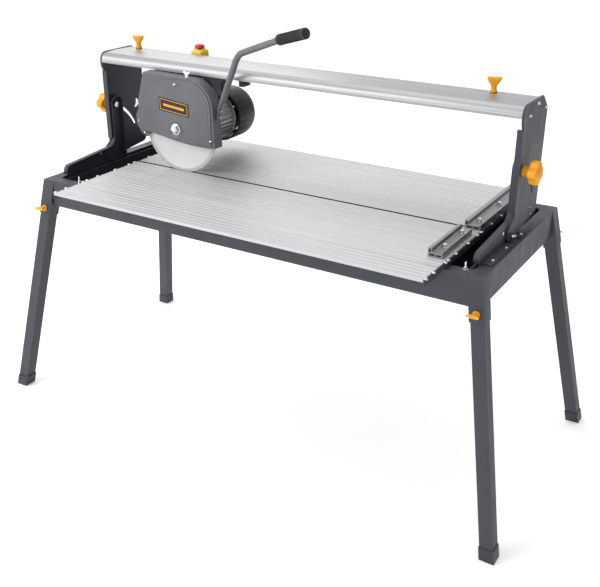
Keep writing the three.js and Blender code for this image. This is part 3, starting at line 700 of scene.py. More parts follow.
ALONG_X = Matrix(((0, 0, 1, 0), (1, 0, 0, 0), (0, 1, 0, 0), (0, 0, 0, 1)))  # profile (y, z), carried along X
ALONG_Y = Matrix(((-1, 0, 0, 0), (0, 0, 1, 0), (0, 1, 0, 0), (0, 0, 0, 1)))  # profile (-x, z), carried along Y


def extruded(loops, length, matrix, finish):
    """Runs the extrusion tree on closed outlines in millimetres."""
    drawing = bpy.data.curves.new("profile", "CURVE")
    drawing.dimensions = "2D"
    for points in loops:
        spline = drawing.splines.new("POLY")
        spline.points.add(len(points) - 1)
        for spot, (u, v) in zip(spline.points, points):
            spot.co = (u * MM, v * MM, 0, 1)
        spline.use_cyclic_u = True
    profile = show(drawing, "profile")
    values = {"Profile": profile, "Length": length * MM, "Finish": finishes[finish]}
    mesh = grow(extrusion_tree, values, matrix=matrix)
    bpy.data.objects.remove(profile)
    bm = bmesh.new()
    bm.from_mesh(mesh)
    bmesh.ops.recalc_face_normals(bm, faces=bm.faces)
    bm.to_mesh(mesh)
    bm.free()
    return mesh


def move_y(y):
    return Matrix.Translation((0, y * MM + BLADE.y, 0))


def repeat(tree, part_mesh, values, finish, matrix=None):
    part = show(part_mesh, "part")
    mesh = grow(tree, {"Part": part, "Finish": finishes[finish], **values}, matrix=matrix)
    bpy.data.objects.remove(part)
    return mesh


# ---- hardware ----


def pan_screw():
    """Pan head with a cross recess, 8 mm across."""
    return turned([
        (4.0, 0), (4.0, 0.7), (3.6, 1.7), (2.6, 2.5), (2.1, 2.7),
        (1.9, 2.72, "cross"), (1.5, 1.3, "cross"), (0.3, 1.0),
    ])


def hex_bolt():
    """Hexagon head 10 mm across flats on a plain washer."""
    return turned([
        (8.2, 0), (8.2, 1.2), (7.9, 1.5), (5.8, 1.5, "hex"), (5.8, 6.4, "hex"),
        (5.1, 7.1), (3.4, 7.2), (3.2, 6.8), (0.5, 6.7),
    ])


def button_bolt():
    """Domed head with a hexagon socket, 11 mm across."""
    return turned([
        (5.5, 0), (5.4, 0.9), (4.6, 2.2), (3.4, 3.0), (2.5, 3.2),
        (2.2, 3.2, "hex"), (2.1, 1.4, "hex"), (0.4, 1.2),
    ])


def standing_stud():
    """A stud standing out of a nut and washer, 24 mm high."""
    threads = []
    for k in range(9):
        threads += [(3.0, 8 + 1.8 * k), (2.5, 8.9 + 1.8 * k)]
    return turned([
        (8.2, 0), (8.2, 1.4), (5.8, 1.5, "hex"), (5.8, 7.2, "hex"), (4.6, 7.8),
        *threads, (2.0, 24.4), (0.4, 24.5),
    ])


HARDWARE = {"pan": pan_screw, "hex": hex_bolt, "button": button_bolt, "stud": standing_stud}


def fit_hardware(name, body, kind, places, finish="fastener_steel"):
    """Places one kind of screw on a body. Each place is (position in metres, facing, size, spin)."""
    points = bpy.data.meshes.new(name + "_points")
    points.from_pydata([p[0] for p in places], [], [])
    points.attributes.new("facing", "FLOAT_VECTOR", "POINT")  # left at zero: every head stands upright
    points.attributes.new("size", "FLOAT", "POINT")
    points.attributes.new("spin", "FLOAT", "POINT")
    # Fetched once all three exist: adding one moves the others, and a reference held from before
    # then writes past the end of its neighbour.
    size, spin = points.attributes["size"], points.attributes["spin"]
    for i, (_, _, scale, turn) in enumerate(places):
        size.data[i].value = scale
        spin.data[i].value = turn
    part = show(HARDWARE[kind](), kind)
    mesh = grow(scatter_tree, {"Part": part, "Finish": finishes[finish]}, points)
    bpy.data.objects.remove(part)
    slot = finish if finish in ("fastener_steel", "black_plastic") else "fastener_steel"
    return finish_piece(mesh, name, slot, body, finish=finish, angle=32)


# ---- table ----

FLUTE_PITCH = 15.0
FLUTE_DIP = ((-3.4, 0), (-2.6, 0.12), (-1.8, 0.5), (-0.9, 0.95), (0, 1.1), (0.9, 0.95), (1.8, 0.5), (2.6,
    0.12), (3.4, 0))
PLANKS = ("front_plank_outer", "front_plank_inner", "rear_plank_inner", "rear_plank_middle",
    "rear_plank_outer")


def span_mm(node):
    """The node's box in millimetres, with y from the blade's plane."""
    low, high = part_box(node)
    shift = Vector((0, BLADE.y, 0))
    return (low - shift) / MM, (high - shift) / MM


def plank_profile(node):
    """Ribbed top with rounded flutes, a grooved lip at the front, and webbed bays underneath."""
    low, high = span_mm(node)
    front, back, seat, top = low.y, high.y, low.z, high.z
    edge = 1.0
    count = int((back - front - 4) // FLUTE_PITCH)
    first = (front + back - (count - 1) * FLUTE_PITCH) / 2
    points = [(front, seat)]
    if node == "front_plank_outer":
        for up, inset in ((1.4, 0), (1.8, 0.7), (2.6, 0.7), (3.0, 0)):
            points.append((front + inset, seat + up))
    points += [(front, top - edge), (front + 0.3, top - 0.3), (front + edge, top)]
    for i in range(count):
        middle = first + i * FLUTE_PITCH
        for offset, depth in FLUTE_DIP:
            points.append((middle + offset, top - depth))
        if i < count - 1:
            points.append((middle + FLUTE_PITCH / 2 - 1.5, top + 0.12))
            points.append((middle + FLUTE_PITCH / 2 + 1.5, top + 0.12))
    points += [(back - edge, top), (back - 0.3, top - 0.3), (back, top - edge), (back, seat)]
    web, skin = 2.4, 3.2
    bays = max(1, round((back - front) / 42))
    bay = (back - front - web) / bays
    for i in reversed(range(bays)):
        left = front + web + i * bay
        right = left + bay - web
        points += [(right, seat), (right, top - skin - 1), (right - 1, top - skin), (left + 1, top - skin),
                   (left, top - skin - 1), (left, seat)]
    return points


def make_planks():
    for node in PLANKS:
        low, high = span_mm(node)
        matrix = Matrix.Translation((low.x * MM, BLADE.y, 0)) @ ALONG_X
        mesh = extruded([plank_profile(node)], high.x - low.x, matrix, "table_aluminium")
        finish_piece(mesh, node + "_ribbed", "table_aluminium", "frame", [node], angle=38)
    paint_slot_shade()


def paint_slot_shade():
    """Black strips down both walls of the saw slot: painted shade, standing in for the shadow inside the slot."""
    front_wall, back_wall = span_mm("front_plank_inner")[1], span_mm("rear_plank_inner")[0]
    left, top = span_mm("front_plank_inner")[0].x + 0.5, front_wall.z
    shade_strips = [boxed((left, y, 617), (front_wall.x - 0.5, y + 0.5, top - 0.1), 0.1, 1)
              for y in (front_wall.y, back_wall.y - 0.5)]
    finish_piece(join(*shade_strips), "saw_slot_liner", "black_plastic", "frame")


def make_fences():
    """Hollow extruded bars with an open channel and the stop face at the left."""
    bolts = {"fence_front": (-160, -66), "fence_rear": (22, 150)}
    for node in ("fence_front", "fence_rear"):
        low, high = span_mm(node)
        middle, floor = (low.x + high.x) / 2, low.z
        squeeze = (high.x - low.x) / 38
        outer = rounded([
            (19, 0, 0.8), (19, 14, 0.8), (16, 14, 0.8), (16, 11.4, 0.6), (9, 9.6, 2), (-2, 9.6, 2), (-9,
                11, 0.8),
            (-9, 20, 0.8), (-19, 20, 0.8), (-19, 0, 0.8),
        ][::-1], 3)
        shift = lambda points: [(u * squeeze - middle, v + floor) for u, v in points]
        holes = [
            rounded([(15.5, 3, 1), (15.5, 7, 1), (3.2, 7, 1), (3.2, 3, 1)], 2),
            rounded([(-0.8, 3, 1), (-0.8, 7, 1), (-15.2, 7, 1), (-15.2, 3, 1)], 2),
            rounded([(-11.8, 9.8, 1), (-11.8, 17.2, 1), (-16.4, 17.2, 1), (-16.4, 9.8, 1)], 2),
        ]
        mirrored = lambda points: [(-u, v) for u, v in points]
        loops = [shift(mirrored(outer))] + [shift(mirrored(h)) for h in holes]
        mesh = extruded(loops, high.y - low.y, move_y(low.y) @ ALONG_Y, "fence_aluminium")
        finish_piece(mesh, node + "_bar", "rail_aluminium", node, [node], "fence_aluminium", 30)
        places = [(at(middle + 3, y, floor + 9.6), (0, 0, 1), 0.95, 0.4) for y in bolts[node]]
        fit_hardware(node + "_bolts", node, "hex", places)


# ---- bridge ----


def rail_profile():
    """Crowned top with two fine grooves, a big front shoulder, a stepped front face and an open channel below."""
    low, high = span_mm("bridge_rail")
    front, back, bottom, top = low.y, high.y, low.z, high.z
    wall = 4.0
    shoulder = 20.0
    points = [(front, bottom), (50, bottom), (50, bottom + wall), (front + wall, bottom + wall)]
    points += arc((front + shoulder, top - shoulder - 1.5), shoulder - wall, 180, 90, 8)
    points += [(back - wall, top - 1 - wall), (back - wall, bottom + wall), (97, bottom + wall), (97, bottom)]
    points += [(back, bottom), (back, bottom + 6), (back - 0.9, bottom + 6.6), (back, bottom + 7.2)]
    points += arc((back - 5, top - 6), 5, 0, 90, 4)
    points += [(121, top - 0.9), (120.2, top - 1.7), (118.6, top - 1.7), (117.8, top - 0.8), (104, top - 0.4)]
    points += [(94.4, top - 0.25), (93.6, top - 1.5), (90.8, top - 1.5), (90, top - 0.25), (73, top), (52,
        top - 0.3)]
    points += arc((front + shoulder, top - shoulder - 0.9), shoulder, 88, 182, 12)
    points += [(front, bottom + 8.2), (front + 0.9, bottom + 7.6), (front + 0.9, bottom + 6.2), (front,
        bottom + 5.6)]
    return points[::-1]


PLATE_FACE = 590.0  # outer face of the end plates, from the middle


def make_bridge():
    low, high = span_mm("bridge_rail")
    matrix = Matrix.Translation((low.x * MM, BLADE.y, 0)) @ ALONG_X
    mesh = extruded([rail_profile()], high.x - low.x, matrix, "rail_aluminium")
    finish_piece(mesh, "bridge_rail_extrusion", "rail_aluminium", "bridge", ["bridge_rail"], angle=28)
    for side, way in (("right", 1), ("left", -1)):
        soften_node(f"end_plate_{side}", 0.9)
        face = way * PLATE_FACE
        out = (way, 0, 0)
        rail_bolts = [(at(face, y, z), out, 0.72, y * 0.1) for y, z in ((48, 884), (98, 901), (160, 880))]
        fit_hardware(f"end_plate_bolts_{side}", "bridge", "hex", rail_bolts)
        lower = [(at(face, 117, 661), out, 0.8, 0.3), (at(face, 124, 643), out, 0.8, 0.9)]
        fit_hardware(f"end_plate_pegs_{side}", "bridge", "button", lower, "roller_steel")
        fit_hardware(f"pivot_bolt_{side}", "bridge", "button", [(at(face + way * 6.9, 0, 631), out, 1.25, 0)])
    under = [(at(way * 502, 22, 885), (0, 0, -1), 0.5, 0.2) for way in (-1, 1)]
    fit_hardware("rail_stop_studs", "bridge", "stud", under)


# ---- knobs ----


def stacked(levels, sides=40, power=2.6, dip=0.0, matrix=None):
    """A hand knob built from rounded slices: (half length, half width, height) in millimetres, dished by dip."""
    bm = bmesh.new()
    loops = []
    longest = max(level[0] for level in levels)
    for long, wide, height in levels:
        loop = []
        for k in range(sides):
            angle = 2 * math.pi * k / sides
            c, s = math.cos(angle), math.sin(angle)
            x = math.copysign(abs(c) ** (2 / power), c) * long
            y = math.copysign(abs(s) ** (2 / power), s) * wide
            lift = dip * (abs(x) / longest) ** 2 * (height / levels[-1][2]) ** 2
            loop.append(bm.verts.new((x * MM, y * MM, (height + lift) * MM)))
        loops.append(loop)
    for low, high in zip(loops, loops[1:]):
        for k in range(sides):
            n = (k + 1) % sides
            bm.faces.new((low[k], low[n], high[n], high[k]))
    bm.faces.new(list(reversed(loops[0])))
    bm.faces.new(loops[-1])
    return mesh_from(bm, matrix)


def wing_knob(scale_across, height):
    """Wing knob: foot ring, narrow neck, wings that flare towards the dished top."""
    a, h = scale_across, height
    return [
        (a * 0.5, a * 0.5, 0), (a * 0.53, a * 0.53, h * 0.03), (a * 0.53, a * 0.53, h * 0.12),
        (a * 0.42, a * 0.42, h * 0.17), (a * 0.4, a * 0.37, h * 0.35), (a * 0.5, a * 0.33, h * 0.5),
        (a * 0.78, a * 0.29, h * 0.64), (a * 0.95, a * 0.27, h * 0.76), (a, a * 0.25, h * 0.86),
        (a * 0.97, a * 0.2, h * 0.93), (a * 0.8, a * 0.1, h * 0.96),
    ]


def star_knob(matrix):
    """Four-lobed knob on a long hub: lobes from a wavy outline that shrinks into rounded rims."""
    def lobes(depth):
        return lambda angle: 1 - depth * (0.5 - 0.5 * math.cos(4 * angle)) ** 1.5
    rings = [
        (12.5, 0), (12.5, 12), (14, 14.2), (21, 14.8, lobes(0.2)), (25, 16, lobes(0.26)),
        (26.7, 18.6, lobes(0.28)), (27, 23, lobes(0.29)), (27, 30, lobes(0.29)), (26.6, 33.4, lobes(0.28)),
        (24.6, 36, lobes(0.26)), (20, 37.4, lobes(0.18)), (15, 37.8, lobes(0.06)), (13, 38.2),
        (12, 39.6), (6, 40), (5.6, 39.4), (0.5, 39.2),
    ]
    return turned(rings, 72, matrix)


def stud_below(radius, reach, matrix):
    return turned([(radius - 0.6, -reach), (radius, -reach + 0.8), (radius, 1)], 14, matrix)


def make_knobs():
    for side, way in (("right", 1), ("left", -1)):
        node = f"tilt_knob_{side}"
        low, high = span_mm(node)
        centre = (low + high) / 2
        seat = at(way * (PLATE_FACE + 0.5), centre.y, centre.z)
        mesh = star_knob(axis_matrix(seat, (way, 0, 0), (0, 0, 1)))
        finish_piece(mesh, node + "_star", "yellow_plastic", node, [node], angle=40)
        bolt_matrix = axis_matrix(at(way * 572, centre.y, centre.z), (way, 0, 0))
        bolt = turned([
            (3, 0.4), (7.4, 0), (8.6, 0.8, "hex"), (8.6, 8, "hex"), (4, 8.2), (4, 20),
        ], 24, bolt_matrix)
        finish_piece(bolt, f"clamp_bolt_{side}", "fastener_steel", node, angle=30)
        low, high = span_mm(f"rail_knob_{side}")
        middle = (low + high) / 2
        foot = at(middle.x, middle.y, span_mm("bridge_rail")[1].z + 0.5)
        turn = Matrix.Rotation(0.35, 4, "Z")
        mesh = stacked(wing_knob(16, 34), dip=3.0, matrix=Matrix.Translation(foot) @ turn)
        stud = stud_below(4, 6.5, Matrix.Translation(foot))
        node = f"rail_knob_{side}"
        finish_piece(join(mesh, stud), node + "_wing", "yellow_plastic", node, [node], angle=45)
    for joint in frame["joints"]:
        if not joint["name"].startswith("leg_knob"):
            continue
        node = joint["child"]
        seat, out = Vector(joint["pos_m"]), Vector(joint["axis"])
        matrix = axis_matrix(seat + out * 0.0003, out, (1, 0, 0))
        mesh = stacked(wing_knob(14.5, 24), dip=2.2, matrix=matrix)
        stud = stud_below(4, 2, matrix)
        finish_piece(join(mesh, stud), node + "_wing", "yellow_plastic", node, [node], angle=45)


# ---- saw head ----

GUARD_FRONT, FACE_RISE = -20.0, 2.4
AT_BLADE = Matrix.Translation((BLADE.x, 0, BLADE.z))  # profiles drawn about the blade's axis


def guard_plate(outline, front, thick, matrix=None, edge=0.0, segments=3, finish="guard_paint"):
    """A plate parallel to the blade, from an outline about the blade's axis in (-x, z)."""
    mesh = extruded([outline], thick, move_y(front) @ AT_BLADE @ ALONG_Y, finish)
    return round_edges(mesh, edge * MM, segments, 40) if edge else mesh


def make_guard():
    soften_node("guard_cover", 2.0, 3)
    soften_node("guard_back_plate", 0.6)
    face = arc((-48, 66), 66, 180, 90, 10) + arc((-8, 5), 127, 90, 8, 18) + [(119, 0)]
    face += quadratic((118, -9), (-8, -33), (-114, -26), 12)
    raised = guard_plate(face[::-1], GUARD_FRONT - FACE_RISE, FACE_RISE + 0.6, edge=1.9)
    inner = arc((-48, 66), 58, 180, 90, 10) + arc((-8, 5), 119, 90, 12, 18) + [(110, 4)]
    inner += quadratic((109, 0), (-8, -24), (-106, -17), 12)
    panel = guard_plate(inner[::-1], GUARD_FRONT - FACE_RISE - 0.7, 1.2, edge=0.6)
    ear = guard_plate(rounded([
        (108, 46, 2), (126, 44, 4), (138, 24, 7), (138, -2, 8), (122, -24, 8), (104, -34, 5), (98, -20,
            2), (112, 0, 2),
    ][::-1], 4), -13, 2.6, edge=0.7)
    ring = turned([
        (25, 0), (24.4, 1.0), (22.8, 1.5), (21, 1.1), (20, 0.3),
        (0.5, 0.25),
    ], 48, axis_matrix(at(-314 + 2, GUARD_FRONT - FACE_RISE - 0.6, 743 + 4), (0, -1, 0)))
    finish_piece(join(raised, panel, ear, ring), "guard_face", "guard_paint", "saw_head", angle=35)
    hub = turned([
        (15, 0), (15, 1.6), (14, 2.0), (12.4, 2.1, "hex"), (12.4, 7.5, "hex"),
        (10.6, 8.8), (7, 11.0), (3, 12.2), (0.4, 12.4),
    ], 36, axis_matrix(at(-314 + 2, GUARD_FRONT - FACE_RISE - 0.9, 743 + 4), (0, -1, 0)))
    finish_piece(hub, "guard_hub_cap", "fastener_steel", "saw_head", angle=30)
    front = GUARD_FRONT - FACE_RISE - 0.7
    bolts = [(-307, front, 863), (-200.5, front + 0.7, 731), (-441, -13.2, 752), (-423.5, -13.2, 722)]
    fit_hardware("guard_bolts", "saw_head", "button", [(at(*p), (0, -1, 0), 1.0, p[0]) for p in bolts])
    wing = stacked(wing_knob(11, 15), dip=4.0, matrix=Matrix.Translation(at(-277, -9,
        881)) @ Matrix.Rotation(0.2, 4, "Z"))
    finish_piece(wing, "guard_top_screw", "fastener_steel", "saw_head", angle=40)
    nut_low, nut_high = span_mm("guard_wing_nut")
    nut_middle = (nut_low + nut_high) / 2
    nut = stacked(wing_knob(12, 15), dip=5.0, power=2.2,
                  matrix=axis_matrix(at(nut_high.x - 5, nut_middle.y, nut_middle.z), (-1, 0, 0), (0, 0.35,
                      1)))
    stud = stud_below(3, 4.6, axis_matrix(at(nut_high.x - 5, nut_middle.y, nut_middle.z), (-1, 0, 0)))
    finish_piece(join(nut, stud), "guard_wing_nut_bright", "fastener_steel", "guard_wing_nut",
        ["guard_wing_nut"])
    label = guard_plate(rounded([(49, 84, 2), (-47, 74, 2), (-47, 40, 2), (49, 49, 2)], 3), front - 0.7,
        0.8, edge=0.2)
    finish_piece(label, "guard_label_plate", "black_plastic", "saw_head", finish="label_face")
    edging = [rounded([(45, 80.6, 2), (-43, 71.4, 2), (-43, 43.4, 2), (45, 52, 2)], 3),
              rounded([(43.6, 79, 1), (-41.6, 70.2, 1), (-41.6, 44.8, 1), (43.6, 53.5, 1)], 3)]
    border = extruded(edging, 0.4, move_y(front - 1.05) @ AT_BLADE @ ALONG_Y, "yellow_plastic")
    finish_piece(border, "guard_label_border", "yellow_plastic", "saw_head")
    stripe = extruded([rounded([(34, 68, 1.5), (-32, 61.2, 1.5), (-32, 55, 1.5), (34, 62, 1.5)], 3)], 0.4,
                      move_y(front - 1.05) @ AT_BLADE @ ALONG_Y, "yellow_plastic")
    finish_piece(stripe, "guard_label_stripe", "yellow_plastic", "saw_head")


def make_blade():
    axis = axis_matrix(at(-314, -1.3, 743), (0, 1, 0))
    rings = [
        (13, 0.4), (30, 0.4), (30.4, 0.35), (103.8, 0.35), (104.6, 0.0),
        (114.3, 0.0), (115, 0.4), (115, 2.2), (114.3, 2.6), (104.6, 2.6),
        (103.8, 2.25), (30.4, 2.25), (13, 2.2), (13, 0.4),
    ]
    bm = bmesh.new()
    loops = []
    sides = 144
    for radius, height in rings:
        loops.append([
            bm.verts.new((radius * MM * math.cos(2 * math.pi * k / sides),
                radius * MM * math.sin(2 * math.pi * k / sides), height * MM))
            for k in range(sides)
        ])
    for low, high in zip(loops, loops[1:]):
        for k in range(sides):
            n = (k + 1) % sides
            bm.faces.new((low[k], low[n], high[n], high[k]))
    mesh = mesh_from(bm, axis)
    finish_piece(mesh, "saw_blade_disc", "blade_steel", "spindle", ["saw_blade"], angle=25)


def make_motor():
    """Finned casing with end rings, black fan cover with a ring grille, and the boxes on top."""
    axis = axis_matrix(at(-314, 19.5, 743), (0, 1, 0), (0, 0, 1))
    casing = turned([
        (20, 0.2), (56, 0.0), (59.4, 0.8), (60, 2), (60, 8), (59, 9),
        (54, 10.5), (53.6, 14), (53.6, 136), (54, 139), (58.6, 140.4),
        (59.4, 141.4), (59.4, 147), (58.6, 148.2), (20, 148.4),
    ], 72, axis)
    box_seat = boxed((-323, 140, 796), (-299, 165, span_mm("terminal_box")[0].z - 0.3), 1.5)
    fin = turned([(1, 10), (1, 12), (1, 136), (1, 138)], 12)
    stretch = Matrix.Diagonal((3.9, 1.25, 1, 1))
    fin.transform(stretch)
    fins = repeat(ring_tree, fin, {"Count": 30, "Radius": 55.6 * MM, "First Angle": 0.03},
        "motor_aluminium", axis)
    finish_piece(join(casing, fins, box_seat), "motor_casing", "motor_aluminium", "saw_head",
        ["motor_housing"], angle=40)
    cover_axis = axis_matrix(at(-314, span_mm("fan_cover")[0].y, 743), (0, 1, 0), (0, 0, 1))
    cup = turned([
        (65.5, 2), (66, 0), (69.4, 0), (70, 0.8), (70, 64), (69.2, 72),
        (66.6, 78.4), (63, 82), (60, 83.4), (59, 83), (59, 79),
        (63.5, 75), (65.5, 68), (65.5, 2),
    ], 72, cover_axis)
    bm = bmesh.new()
    bm.from_mesh(cup)
    caps = [f for f in bm.faces if len(f.verts) > 4]
    bmesh.ops.delete(bm, geom=caps, context="FACES_ONLY")
    bmesh.ops.remove_doubles(bm, verts=bm.verts, dist=1e-6)
    bm.to_mesh(cup)
    bm.free()
    spoke = turned([(1.6, 12), (1.6, 60.5)], 8)
    spoke.transform(Matrix.Translation((0, 0, 80.4 * MM)) @ Matrix.Rotation(math.pi / 2, 4, "Y"))
    spokes = repeat(ring_tree, spoke, {"Count": 8, "Radius": 0.0, "First Angle": 0.2}, "black_plastic",
        cover_axis)
    rings = [torus(radius, 1.5, cover_axis @ Matrix.Translation((0, 0, 80.9 * MM))) for radius in (20, 28,
        36, 44, 51, 57)]
    boss = turned([(14, 78.5), (14, 82.2), (12.4, 83.2), (0.5, 83.3)], 32, cover_axis)
    rib = turned([(1, 3), (1, 60)], 8)
    rib.transform(Matrix.Diagonal((0.9, 1.6, 1, 1)))
    ribs = repeat(ring_tree, rib, {"Count": 24, "Radius": 69.4 * MM, "First Angle": 0.05},
        "black_plastic", cover_axis)
    finish_piece(join(cup, spokes, boss, ribs, *rings), "fan_cover_grille", "black_plastic", "saw_head",
        ["fan_cover"], angle=40)
    screws = []
    for k in range(4):
        angle = math.radians(45 + 90 * k)
        screws.append((at(-314 + 64 * math.cos(angle) * 0.86, 19.4, 743 + 64 * math.sin(angle) * 0.86),
            (0, -1, 0), 0.8, k))
    fit_hardware("motor_front_screws", "saw_head", "hex", screws)
    bright = [(at(-262.5, 163.5, 774), (0.86, 0, 0.5), 1.1, 0.3), (at(-262, 163.5, 713), (0.87, 0, -0.5),
        1.1, 0.3)]
    bright += [(at(-262.5, 24.5, 774), (0.86, 0, 0.5), 1.1, 0.3)]
    fit_hardware("motor_casing_screws", "saw_head", "pan", bright)
    soften_node("head_bracket", 0.9)


def torus(radius, thickness, matrix, sides=48, around=10):
    bm = bmesh.new()
    loops = []
    for k in range(sides):
        angle = 2 * math.pi * k / sides
        loop = []
        for m in range(around):
            turn = 2 * math.pi * m / around
            r = (radius + thickness * math.cos(turn)) * MM
            loop.append(bm.verts.new((r * math.cos(angle), r * math.sin(angle),
                thickness * MM * math.sin(turn))))
        loops.append(loop)
    for k in range(sides):
        low, high = loops[k], loops[(k + 1) % sides]
        for m in range(around):
            n = (m + 1) % around
            bm.faces.new((low[m], low[n], high[n], high[m]))
    return mesh_from(bm, matrix)


def boxed(low, high, edge, segments=3):
    """A box between two corners in millimetres with well-rounded edges."""
    bm = bmesh.new()
    bmesh.ops.create_cube(bm, size=1.0)
    low, high = at(*low), at(*high)
    for vert in bm.verts:
        vert.co = Vector([low[i] if vert.co[i] < 0 else high[i] for i in range(3)])
    bmesh.ops.bevel(bm, geom=bm.edges, offset=edge * MM, segments=segments, profile=0.5, affect="EDGES")
    return mesh_from(bm)


def make_switches():
    start = sum(span_mm("start_button"), Vector()) / 2
    low, high = span_mm("terminal_box")
    seam = high.z - 16
    body = boxed((low.x, low.y, low.z), (high.x, high.y, seam - 0.8), 3.0)
    gasket = boxed((low.x + 1.4, low.y + 1.4, seam - 2), (high.x - 1.4, high.y - 1.4, seam + 1), 1.0)
    lid = boxed((low.x - 0.6, low.y - 0.6, seam), (high.x + 0.6, high.y + 0.6, high.z), 3.4)
    gland = turned([
        (9, 0, "hex"), (9, 4, "hex"), (8, 4.5), (8, 9), (6.4, 13), (4, 14), (0.4, 14),
    ], 24, axis_matrix(at(high.x - 0.5, (low.y + high.y) / 2, low.z + 30), (1, 0, 0)))
    collar = turned([(9.6, 0), (9.6, 1.4), (8.6, 2.0), (8.2, 0.4)], 28,
                    Matrix.Translation(at(start.x, start.y, high.z)))
    finish_piece(join(body, gasket, lid, gland, collar), "terminal_box_lidded", "black_plastic",
        "saw_head", ["terminal_box"])
    screws = [(at(x, y, high.z - 0.1), (0, 0, 1), 0.55, x) for x in (high.x - 6,) for y in (low.y + 6,
        high.y - 6)]
    fit_hardware("terminal_box_screws", "saw_head", "pan", screws)
    low, high = span_mm("switch_housing")
    middle = (low + high) / 2
    button_low = span_mm("stop_button")[0]
    dome_foot, press, spare = 10.6, 4.0, 0.4
    deck = button_low.z - low.z + dome_foot - press - spare  # the pressed dome stops short of this
    levels = [(19, 19, 0), (19, 19, deck * 0.42), (18.6, 18.8, deck * 0.68), (17.4, 18, deck * 0.87),
              (15.4, 16, deck * 0.98), (12, 12, deck)]
    housing = stacked(levels, 48, 6.0, matrix=Matrix.Translation(at(middle.x, middle.y, low.z)))
    hood = turned([
        (15.8, deck - 1), (15.8, deck + 1.4), (15.4, deck + 1.9), (14.8, deck + 1.9),
        (14.6, deck - 0.2), (6.6, deck - 0.4),
    ], 36, Matrix.Translation(at(middle.x, middle.y, low.z)))
    finish_piece(join(housing, hood), "switch_housing_moulded", "switch_plastic", "saw_head",
        ["switch_housing"])
    base = Matrix.Translation(at(middle.x, middle.y, button_low.z))
    dome = turned([
        (6, 0), (6, 11.4), (12.6, 10.6), (13.8, 11.6), (14, 13.2),
        (13.4, 15.6), (11.4, 18.2), (7.6, 20.0), (4, 20.7), (0.4, 20.9),
    ], 40, base)
    finish_piece(dome, "stop_button_dome", "red_plastic", "stop_button", ["stop_button"], angle=50)
    start_low, start_high = span_mm("start_button")
    start_middle = (start_low + start_high) / 2
    cap = turned([
        (6.9, 0), (7, 0.4), (7, 7.4), (6.4, 8.4), (5, 8.9), (0.4, 8.6),
    ], 32, Matrix.Translation(at(start_middle.x, start_middle.y, start_low.z)))
    finish_piece(cap, "start_button_cap", "green_plastic", "start_button", ["start_button"], angle=50)


def make_handle():
    """Bent tube, flattened where it is bolted on, with a ribbed rubber grip."""
    heel, foot, elbow = at(-188.4, 0, 783), at(-184.6, 0, 812), at(-114.7, -14, 955)
    grip_start, grip_end = at(48, -85, 1013.5), at(137, -112, 1039.6)
    before, after = foot.lerp(elbow, 0.86), elbow.lerp(grip_start, 0.1)
    path = [heel.lerp(foot, k / 4) for k in range(4)]
    path += [foot.lerp(before, k / 14) for k in range(14)]
    for k in range(13):
        t = k / 12
        path.append(before * (1 - t) ** 2 + elbow * 2 * t * (1 - t) + after * t * t)
    path += [after.lerp(grip_start, k / 6) for k in range(1, 7)]
    sections = []
    for k in range(len(path)):
        share = min(1.0, max(0.0, (k - 3.5) / 4))
        share = share * share * (3 - 2 * share)
        sections.append((3.4 + (8 - 3.4) * share, 10.5 + (8 - 10.5) * share))
    tube = swept(path, sections, 24)
    finish_piece(tube, "handle_tube", "guard_paint", "saw_head", ["handle"], angle=40)
    axis = (grip_end - grip_start).normalized()
    along = axis_matrix(grip_start + axis * 1.5 * MM, axis)
    core = turned([
        (8.4, 0), (12.2, 0.2), (12.8, 1.4), (12.8, 5), (11.2, 7),
        (11, 12), (11, 82), (12, 85), (12.6, 88), (12, 92),
        (9.6, 93.8), (0.5, 94),
    ], 40, along)
    rib = turned([(10.8, -1.6), (12, -0.9), (12.5, 0), (12, 0.9), (10.8, 1.6)], 32)
    ribs = repeat(row_tree, rib, {"Count": 15, "Pitch": 5.0 * MM}, "grip_rubber",
        along @ Matrix.Translation((0, 0, 10.5 * MM)))
    finish_piece(join(core, ribs), "handle_grip_ribbed", "grip_rubber", "saw_head", ["handle_grip"], angle=50)
    back = grip_start - (grip_start - after).normalized() * 24 * MM
    up = Vector((-0.2, -0.45, 0.87)).normalized()
    fit_hardware("handle_rivet", "saw_head", "button", [(back + up * 7.4 * MM, up, 1.15, 0)])
    bolts = [(at(-185.2, 0, 789), (1, 0, -0.13), 0.9, 0.2), (at(-183, 0, 805), (1, 0, -0.13), 0.9, 0.5)]
    fit_hardware("handle_bolts", "saw_head", "button", bolts)


def make_carriage():
    soften_node("carriage", 1.4, 3)
    high = span_mm("carriage")[1]
    buffer = turned([
        (6, -1), (7.6, 0), (8.4, 1.6), (8.2, 4.4), (6.4, 6.6), (0.5, 7.2),
    ], 28, axis_matrix(at(high.x - 2, 74, 870), (1, 0, 0)))
    finish_piece(buffer, "carriage_buffer", "foot_rubber", "carriage")
    caps = [(at(x, 19.8, 873), (0, -1, 0), 0.75, x) for x in (-398, -340, -250)]
    fit_hardware("carriage_screws", "carriage", "hex", caps)


# ---- frame, legs, tray ----


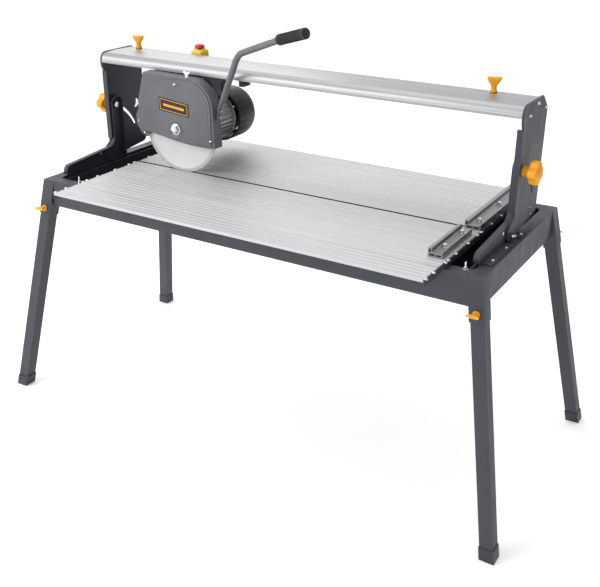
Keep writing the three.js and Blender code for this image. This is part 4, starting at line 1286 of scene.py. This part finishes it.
TABLE_SCREW_Z = 630.2  # height of the screws in the table's end plates


def make_frame():
    for side in ("front", "rear", "left", "right"):
        soften_node(f"frame_rail_{side}", 1.1, 3)
    for corner in ("front_left", "front_right", "rear_left", "rear_right"):
        soften_node(f"leg_socket_{corner}", 0.7)
        soften_node(f"leg_{corner}", 0.75)
        soften_node(f"foot_{corner}", 1.6, 3)
    for side, way in (("left", -1), ("right", 1)):
        soften_node(f"table_end_plate_{side}", 0.7)
        soften_node(f"upright_{side}", 0.9)
    right = span_mm("table_end_plate_right")[1].x
    rows = (-309, -272, -212, -198, -158, -91, -36, -13, 47, 110, 160, 214, 262, 300)
    screws = [(at(right, y, TABLE_SCREW_Z), (1, 0, 0), 1.05, y) for y in rows]
    left = span_mm("table_end_plate_left")[0].x
    screws += [(at(left, y, TABLE_SCREW_Z), (-1, 0, 0), 1.05, y) for y in rows]
    fit_hardware("table_screws", "frame", "pan", screws)
    arms = [(at(way * 580.5, -29, 642), (-way, 0, 0), 0.7, 0.3) for way in (-1, 1)]
    fit_hardware("arm_bolts", "frame", "hex", arms)
    studs = [(at(x, -192, 616), (0, 0, 1), 0.7, 0.2) for x in (-506, 565)]
    fit_hardware("levelling_studs", "frame", "stud", studs)
    feet = [(at(way * 598, y, 619.3), (0, 0, 1), 0.8, y) for way in (-1, 1) for y in (-125, -45, 50)]
    fit_hardware("arm_foot_screws", "frame", "button", feet)


def make_tray():
    soften_node("water_tray", 0.8)
    soften_node("water_pump", 2.0, 3)
    soften_node("drain_plug", 0.8)


def dress_rest():
    """CAD nodes that stay as they are get their finish."""
    for node in ("roller_axle_1", "roller_axle_2", "motor_shaft", "blade_flange_nut"):
        mesh = frame["nodes"][node].data
        mesh.materials.clear()
        mesh.materials.append(finishes[slot_of_node(node)])


# ---- assembly ----

set_camera()
set_studio()
add_floor()
make_frame()
make_tray()
make_planks()
make_fences()
make_bridge()
make_knobs()
make_carriage()
make_guard()
make_blade()
make_motor()
make_switches()
make_handle()
dress_rest()
